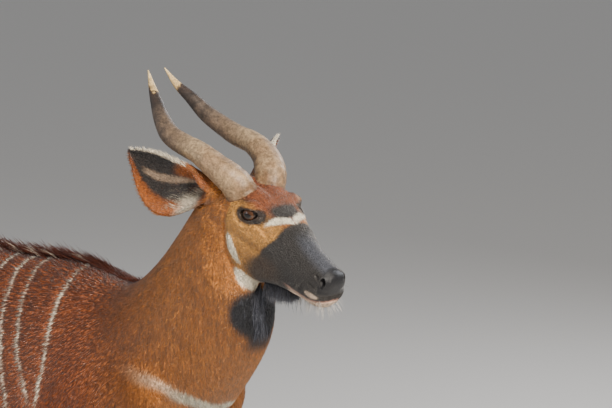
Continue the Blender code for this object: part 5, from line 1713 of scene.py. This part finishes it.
def grow_whiskers(skin, tree):
    """Fine feelers: pale on chin and lower lip, and a few grey ones on the muzzle's sides."""
    turn, _ = rows_of(HEAD)
    ahead = CHANCE.uniform(0.305, 0.366, WHISKERS)
    aside = CHANCE.uniform(-1, 1, WHISKERS)
    below = CHANCE.uniform(0, 1, WHISKERS) < 0.86
    starts, ways = [], []
    for x, y, low in zip(ahead, aside, below):
        if low:
            starts.append((x, 0.030 * y, -0.18))
            ways.append((0.0, 0.0, 1.0))
        else:
            starts.append((x - 0.01, math.copysign(0.12, y), -0.060 - 0.022 * abs(y)))
            ways.append((0.0, -math.copysign(1.0, y), 0.0))
    roots, hit = roots_at(tree, skin, out_of(HEAD, np.array(starts)), np.array(ways) @ turn.T)
    lean = np.array((0.45, 0.0, -0.35)) @ turn.T
    ways = unit(roots[1] + lean + CHANCE.normal(0, 0.16, (len(hit), 3)))
    length = CHANCE.uniform(0.012, 0.030, len(hit)) * np.where(below[hit], 1.0, 0.8)
    bend = np.stack((np.zeros(len(hit)), np.zeros(len(hit)), -0.25 * length), 1)
    colour = np.where(below[hit][:, None], WHISKER_PALE, WHISKER_GREY)
    return long_hair("whiskers", roots, ways, length, 0.0007, 4, bend, colour, colour)


# ---------------------------------------------------------------- materials


def node(tree, kind, settings=None, links=None):
    """Adds a node with its settings, and links each named input to a value or to another node's output."""
    made = tree.nodes.new(kind)
    for name, value in (settings or {}).items():
        setattr(made, name, value)
    for name, value in (links or {}).items():
        if isinstance(value, bpy.types.NodeSocket):
            tree.links.new(value, made.inputs[name])
        else:
            made.inputs[name].default_value = value
    return made


def surface(name, constants):
    """A Principled material with its constant sockets set; its tree and shader are returned with it."""
    made = bpy.data.materials.new(name)
    made.use_nodes = True
    tree = made.node_tree
    shader = tree.nodes["Principled BSDF"]
    for socket, value in constants.items():
        shader.inputs[socket].default_value = value
    return made, tree, shader


def attribute(tree, name, output="Fac"):
    """What a material reads from the mesh's own attribute."""
    return node(tree, "ShaderNodeAttribute", {"attribute_name": name}).outputs[output]


def object_place(tree):
    """The place in Object coordinates."""
    return node(tree, "ShaderNodeTexCoord").outputs["Object"]


def noise(tree, place, scale, detail, distortion=0.0):
    """Soft noise from 0 to 1."""
    links = {"Vector": place, "Scale": scale, "Detail": detail, "Distortion": distortion}
    return node(tree, "ShaderNodeTexNoise", links=links).outputs["Fac"]


def stretched(tree, place, scale):
    """The place drawn out along the axes by their scales."""
    return node(tree, "ShaderNodeMapping", links={"Vector": place, "Scale": scale}).outputs["Vector"]


def ranged(tree, share, to, source=(0.0, 1.0)):
    """A number carried from one range to another."""
    links = {"Value": share, "From Min": source[0], "From Max": source[1], "To Min": to[0], "To Max": to[1]}
    return node(tree, "ShaderNodeMapRange", links=links).outputs["Result"]


def maths(tree, operation, *values):
    """A sum over numbers."""
    return node(tree, "ShaderNodeMath", {"operation": operation}, dict(enumerate(values))).outputs["Value"]


def scaled(tree, colour, share):
    """The colour made darker or lighter."""
    links = {0: colour, "Scale": share}
    return node(tree, "ShaderNodeVectorMath", {"operation": "SCALE"}, links).outputs["Vector"]


def bumped(tree, shader, height, strength, distance):
    """Gives the shader its fine relief."""
    bump = node(tree, "ShaderNodeBump", links={"Height": height, "Strength": strength, "Distance": distance})
    tree.links.new(bump.outputs["Normal"], shader.inputs["Normal"])


def ramp(tree, share, stops):
    """A colour ramp over a number: stops are places with sRGB hex colours."""
    made = node(tree, "ShaderNodeValToRGB", links={"Fac": share})
    line = made.color_ramp
    for extra in stops[2:]:
        line.elements.new(extra[0])
    for element, (place, colour) in zip(line.elements, sorted(stops)):
        element.position = place
        element.color = (*linear(colour), 1.0)
    return made.outputs["Color"]


def hair_material(name, roughness, sheen, stretch):
    """Hair: keratin fibres that take their colour from the markings, in streaks along the way they lie."""
    constants = {"Roughness": roughness, "IOR": 1.55, "Specular IOR Level": 0.35}
    made, tree, shader = surface(name, {**constants, "Sheen Weight": sheen, "Sheen Roughness": 0.35})
    place = object_place(tree)
    # Patches of lighter and darker hair some 30 mm across, as weather and growth leave them.
    patches = ranged(tree, noise(tree, place, 33.0, 3.0), (0.80, 1.20))
    toned = scaled(tree, attribute(tree, "marking", "Color"), patches)
    # Hair clumps into streaks about 5 mm wide and some 25 mm long.
    streaks = noise(tree, stretched(tree, place, stretch), 190.0, 2.0)
    streaked = scaled(tree, toned, ranged(tree, streaks, (0.66, 1.34), (0.3, 0.7)))
    tree.links.new(streaked, shader.inputs["Base Color"])
    return made


def skin_material():
    """Hide under short hair: fine streaks, with moist pebbled bare skin on nose, lips and lid edges."""
    made, tree, shader = surface("haired_hide", {"IOR": 1.45, "Sheen Weight": 0.15, "Sheen Roughness": 0.4})
    naked = attribute(tree, "bare")
    place = object_place(tree)
    # Hairs about 1.5 mm apart and several times as long, drawn along the body's height.
    hairs = noise(tree, stretched(tree, place, (1.0, 1.0, 0.22)), 650.0, 2.0)
    # Pebbles of the bare nose, some 2 mm across.
    pebbles = node(tree, "ShaderNodeTexVoronoi", links={"Vector": place, "Scale": 520.0}).outputs["Distance"]
    height = node(
        tree, "ShaderNodeMix", {"data_type": "FLOAT"}, {"Factor": naked, "A": hairs, "B": pebbles}
    ).outputs["Result"]
    bumped(tree, shader, height, 0.5, 0.0012)
    tree.links.new(ranged(tree, naked, (0.62, 0.40)), shader.inputs["Roughness"])
    toned = scaled(tree, attribute(tree, "marking", "Color"), ranged(tree, hairs, (0.65, 1.15)))
    tree.links.new(toned, shader.inputs["Base Color"])
    return made


# The horn's colours by the share of its length.
HORN_COLOURS = [
    (0.0, "#6B4B30"),
    (0.14, "#A08564"),
    (0.22, "#8B7053"),
    (0.34, "#A28A6A"),
    (0.50, "#7A6550"),
    (0.64, "#5A4C40"),
    (0.78, "#332B26"),
    (0.855, "#3D3028"),
    (0.885, "#D8B67C"),
    (1.0, "#E6CC96"),
]
IRIS_COLOURS = [(0.0, "#1B0F08"), (0.45, "#3A2212"), (0.72, "#4B2E18"), (0.86, "#1A100A"), (1.0, "#0E0A08")]


def horn_material():
    """Horn keratin: worn satin, brown-grey at the base, dark before the ivory tip, with blotches."""
    made, tree, shader = surface("horn_keratin_worn", {"Roughness": 0.5, "IOR": 1.54})
    along = attribute(tree, "along")
    place = object_place(tree)
    wander = maths(tree, "MULTIPLY_ADD", noise(tree, place, 42.0, 4.0), 0.30, -0.15)
    base = ramp(tree, maths(tree, "ADD", along, wander), HORN_COLOURS)
    # Fine grain, and worn and stained patches some 15 mm across.
    grain = noise(tree, place, 260.0, 3.0, 0.6)
    stains = noise(tree, place, 85.0, 3.0, 0.8)
    tone = ranged(tree, maths(tree, "MULTIPLY", grain, stains), (0.50, 1.40), (0.12, 0.38))
    tree.links.new(scaled(tree, base, tone), shader.inputs["Base Color"])
    # Growth rings some 5 mm apart by the horn's own length.
    wave = maths(tree, "SINE", maths(tree, "MULTIPLY", along, 560.0))
    bumped(tree, shader, maths(tree, "MULTIPLY_ADD", wave, 0.12, grain), 0.35, 0.0012)
    return made


def hoof_material():
    """Hoof keratin: dense dark horn with growth lines, dusty towards the sole."""
    made, tree, shader = surface("hoof_keratin_dark", {"Roughness": 0.45, "IOR": 1.54})
    place = object_place(tree)
    height = node(tree, "ShaderNodeSeparateXYZ", links={"Vector": place}).outputs["Z"]
    uneven = maths(tree, "MULTIPLY_ADD", noise(tree, place, 120.0, 4.0), 0.03, height)
    share = ranged(tree, uneven, (0.0, 1.0), (0.0, 0.085))
    colour = ramp(tree, share, [(0.0, "#57483A"), (0.30, "#3A3029"), (1.0, "#201B18")])
    tree.links.new(colour, shader.inputs["Base Color"])
    links = {"Vector": place, "Scale": 62.0, "Distortion": 1.2}
    lines = node(tree, "ShaderNodeTexWave", {"bands_direction": "Z"}, links).outputs["Fac"]
    bumped(tree, shader, lines, 0.35, 0.0010)
    return made


def eye_material():
    """Wet eye: dark brown iris, a long level pupil and a darker rim, under a clear glossy front."""
    constants = {"Roughness": 0.18, "IOR": 1.376, "Coat Weight": 1.0, "Coat Roughness": 0.02, "Coat IOR": 1.40}
    made, tree, shader = surface("wet_dark_eye", constants)
    links = {"X": attribute(tree, "eye_x"), "Y": attribute(tree, "eye_y")}
    flat = node(tree, "ShaderNodeCombineXYZ", links=links).outputs["Vector"]
    radius = node(tree, "ShaderNodeVectorMath", {"operation": "LENGTH"}, {0: flat}).outputs["Value"]
    iris = ramp(tree, ranged(tree, radius, (0.0, 1.0), (0.0, 0.0160)), IRIS_COLOURS)
    # The pupil is a slot, longer along the opening than up it.
    slot = node(tree, "ShaderNodeVectorMath", {"operation": "MULTIPLY"}, {0: flat, 1: (1.0, 1.9, 1.0)})
    slot_size = node(tree, "ShaderNodeVectorMath", {"operation": "LENGTH"}, {0: slot.outputs["Vector"]})
    outside = ranged(tree, slot_size.outputs["Value"], (0.0, 1.0), (0.0078, 0.0090))
    links = {"Factor": outside, "A": (*linear("#050404"), 1.0), "B": iris}
    colour = node(tree, "ShaderNodeMix", {"data_type": "RGBA"}, links)
    tree.links.new(colour.outputs["Result"], shader.inputs["Base Color"])
    return made


def rim_material():
    """The wet black edge of the lids."""
    constants = {"Roughness": 0.22, "IOR": 1.40, "Coat Weight": 0.6, "Coat Roughness": 0.08}
    made, tree, shader = surface("wet_lid_edge", constants)
    grain = noise(tree, object_place(tree), 900.0, 2.0)
    tree.links.new(ramp(tree, grain, [(0.3, "#0B0908"), (0.7, "#241A16")]), shader.inputs["Base Color"])
    return made


def floor_material():
    """Plain pale studio floor: matt paper."""
    return surface("pale_studio_floor", {"Roughness": 0.9, "Base Color": (*linear("#DAD7D2"), 1.0)})[0]


# ---------------------------------------------------------------- the whole animal


def unwrapped(skin):
    """Lays the skin's own shape out flat on the OFBake map."""
    layer = skin.data.uv_layers.new(name="OFBake")
    layer.active = True
    bpy.context.view_layer.objects.active = skin
    skin.select_set(True)
    bpy.ops.object.mode_set(mode="EDIT")
    bpy.ops.mesh.select_all(action="SELECT")
    bpy.ops.uv.smart_project(angle_limit=math.radians(66), island_margin=0.001)
    bpy.ops.object.mode_set(mode="OBJECT")
    skin.select_set(False)
    return skin


def dressed(piece, material, shift):
    """Gives the piece its material and slot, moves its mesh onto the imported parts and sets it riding."""
    piece.data.materials.clear()
    piece.data.materials.append(material)
    piece.data.transform(Matrix.Translation(shift))
    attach(piece, "root")
    return piece


FLESH = ["head", "neck", "torso", "tail", "ear_left", "ear_right"] + [leg[0] for leg in LEGS]


def build_animal(shift):
    """Skin, coat, horns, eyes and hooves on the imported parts."""
    hide = skin_material()
    hanging = hair_material("short_hair_hanging_down", 0.55, 0.25, (1.0, 1.0, 0.20))
    lying = hair_material("short_hair_lying_back", 0.55, 0.25, (0.22, 1.0, 0.9))
    long = hair_material("long_hair", 0.45, 0.15, (1.0, 1.0, 0.25))
    keratin = horn_material()
    hoof = hoof_material()
    eye = eye_material()
    rim = rim_material()
    skin = unwrapped(build_skin())
    points = places(skin.data)
    write_colour(skin, "marking", coat_colours(points))
    write_number(skin, "bare", bare(points))
    shaded(skin)
    samples = skin_samples(skin)
    tree = skin_tree(skin)
    coat = build_coat(samples)
    strands = [grow_crest(skin, tree), grow_ruff(skin, tree), grow_tail_tuft(skin, tree)]
    for word, side in (("left", 1), ("right", -1)):
        strands.append(grow_ear_hair(skin, tree, side, "ear_hair_" + word))
    strands += [grow_lashes(skin, tree), grow_whiskers(skin, tree)]
    for piece in coat:
        dressed(piece, lying if "trunk" in piece.name else hanging, shift)
    for piece in strands:
        dressed(piece, long, shift)
    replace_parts(dressed(skin, hide, shift), *FLESH)
    for word, side in (("left", 1), ("right", -1)):
        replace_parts(dressed(horn("horn_looks_" + word, side), keratin, shift), "horn_" + word)
        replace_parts(dressed(eyeball("eyeball_" + word, side), eye, shift), "eye_" + word)
        dressed(lid_rim("lid_rim_" + word, side), rim, shift)
    for name, stations, side, step in LEGS:
        middle = foot_middle(stations, side, step)
        for word, toe_side in (("left", 1), ("right", -1)):
            made = dressed(toe(name + "_hoof_" + word, middle, toe_side), hoof, shift)
            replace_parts(made, name + "_" + word + "_toe")
            made = dressed(dewclaw(name + "_claw_" + word, middle, toe_side), hoof, shift)
            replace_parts(made, name + "_" + word + "_dewclaw")


# ---------------------------------------------------------------- floor, light and camera


FLOOR_SIZE = 40.0


def build_floor():
    """The stage under the animal."""
    bm = bmesh.new()
    bmesh.ops.create_grid(bm, x_segments=1, y_segments=1, size=FLOOR_SIZE)
    floor = mesh_object("floor", bm)
    floor.data.materials.append(floor_material())


def area_light(name, place, aim, size, power, tint):
    """A round soft light that faces the place it is aimed at."""
    lamp = bpy.data.lights.new(name, "AREA")
    lamp.shape = "DISK"
    lamp.size = size
    lamp.energy = power
    lamp.color = linear(tint)
    made = bpy.data.objects.new(name, lamp)
    made.location = place
    made.rotation_euler = (Vector(aim) - Vector(place)).to_track_quat("-Z", "Y").to_euler()
    bpy.context.scene.collection.objects.link(made)


def build_lights():
    """A warm key from the front, with a cool fill, a light from behind and an even sky."""
    area_light("key", (3.8, -1.6, 3.4), (0.45, 0.0, 1.15), 1.2, 330.0, "#FFF6EA")
    area_light("fill", (-2.0, -4.5, 2.4), (0.0, 0.0, 0.9), 3.0, 45.0, "#F2F5FF")
    area_light("rim", (0.5, 4.0, 3.2), (0.3, 0.0, 1.1), 2.0, 120.0, "#F4F8FF")
    world = bpy.data.worlds.new("studio")
    world.use_nodes = True
    sky = world.node_tree.nodes["Background"]
    sky.inputs["Color"].default_value = (*linear("#E4E6EA"), 1.0)
    sky.inputs["Strength"].default_value = 0.45
    bpy.context.scene.world = world


# The camera's bearing and height round the head, its distance and aim, its lens, and the framing's shift.
CAMERA_TURN = math.radians(42)
CAMERA_RISE = math.radians(9)
CAMERA_AWAY = 4.8
CAMERA_AIM = Vector((0.76, -0.01, 1.372))
CAMERA_LENS = 135.0
CAMERA_SHIFT = (0.128, -0.034)


def build_camera(shift):
    """The photo's view."""
    lens = bpy.data.cameras.new("camera")
    lens.lens = CAMERA_LENS
    lens.sensor_width = 36.0
    lens.shift_x, lens.shift_y = CAMERA_SHIFT
    made = bpy.data.objects.new("camera", lens)
    back = Vector(
        (
            math.sin(CAMERA_TURN) * math.cos(CAMERA_RISE),
            -math.cos(CAMERA_TURN) * math.cos(CAMERA_RISE),
            math.sin(CAMERA_RISE),
        )
    )
    made.location = CAMERA_AIM + shift + back * CAMERA_AWAY
    made.rotation_euler = back.to_track_quat("Z", "Y").to_euler()
    bpy.context.scene.collection.objects.link(made)
    bpy.context.scene.camera = made


eye_low, eye_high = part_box("eye_right")
SHIFT = (eye_low + eye_high) / 2 - HEAD @ (EYE_PLACE * Vector((1.0, -1.0, 1.0)))
build_animal(SHIFT)
build_floor()
build_lights()
build_camera(SHIFT)
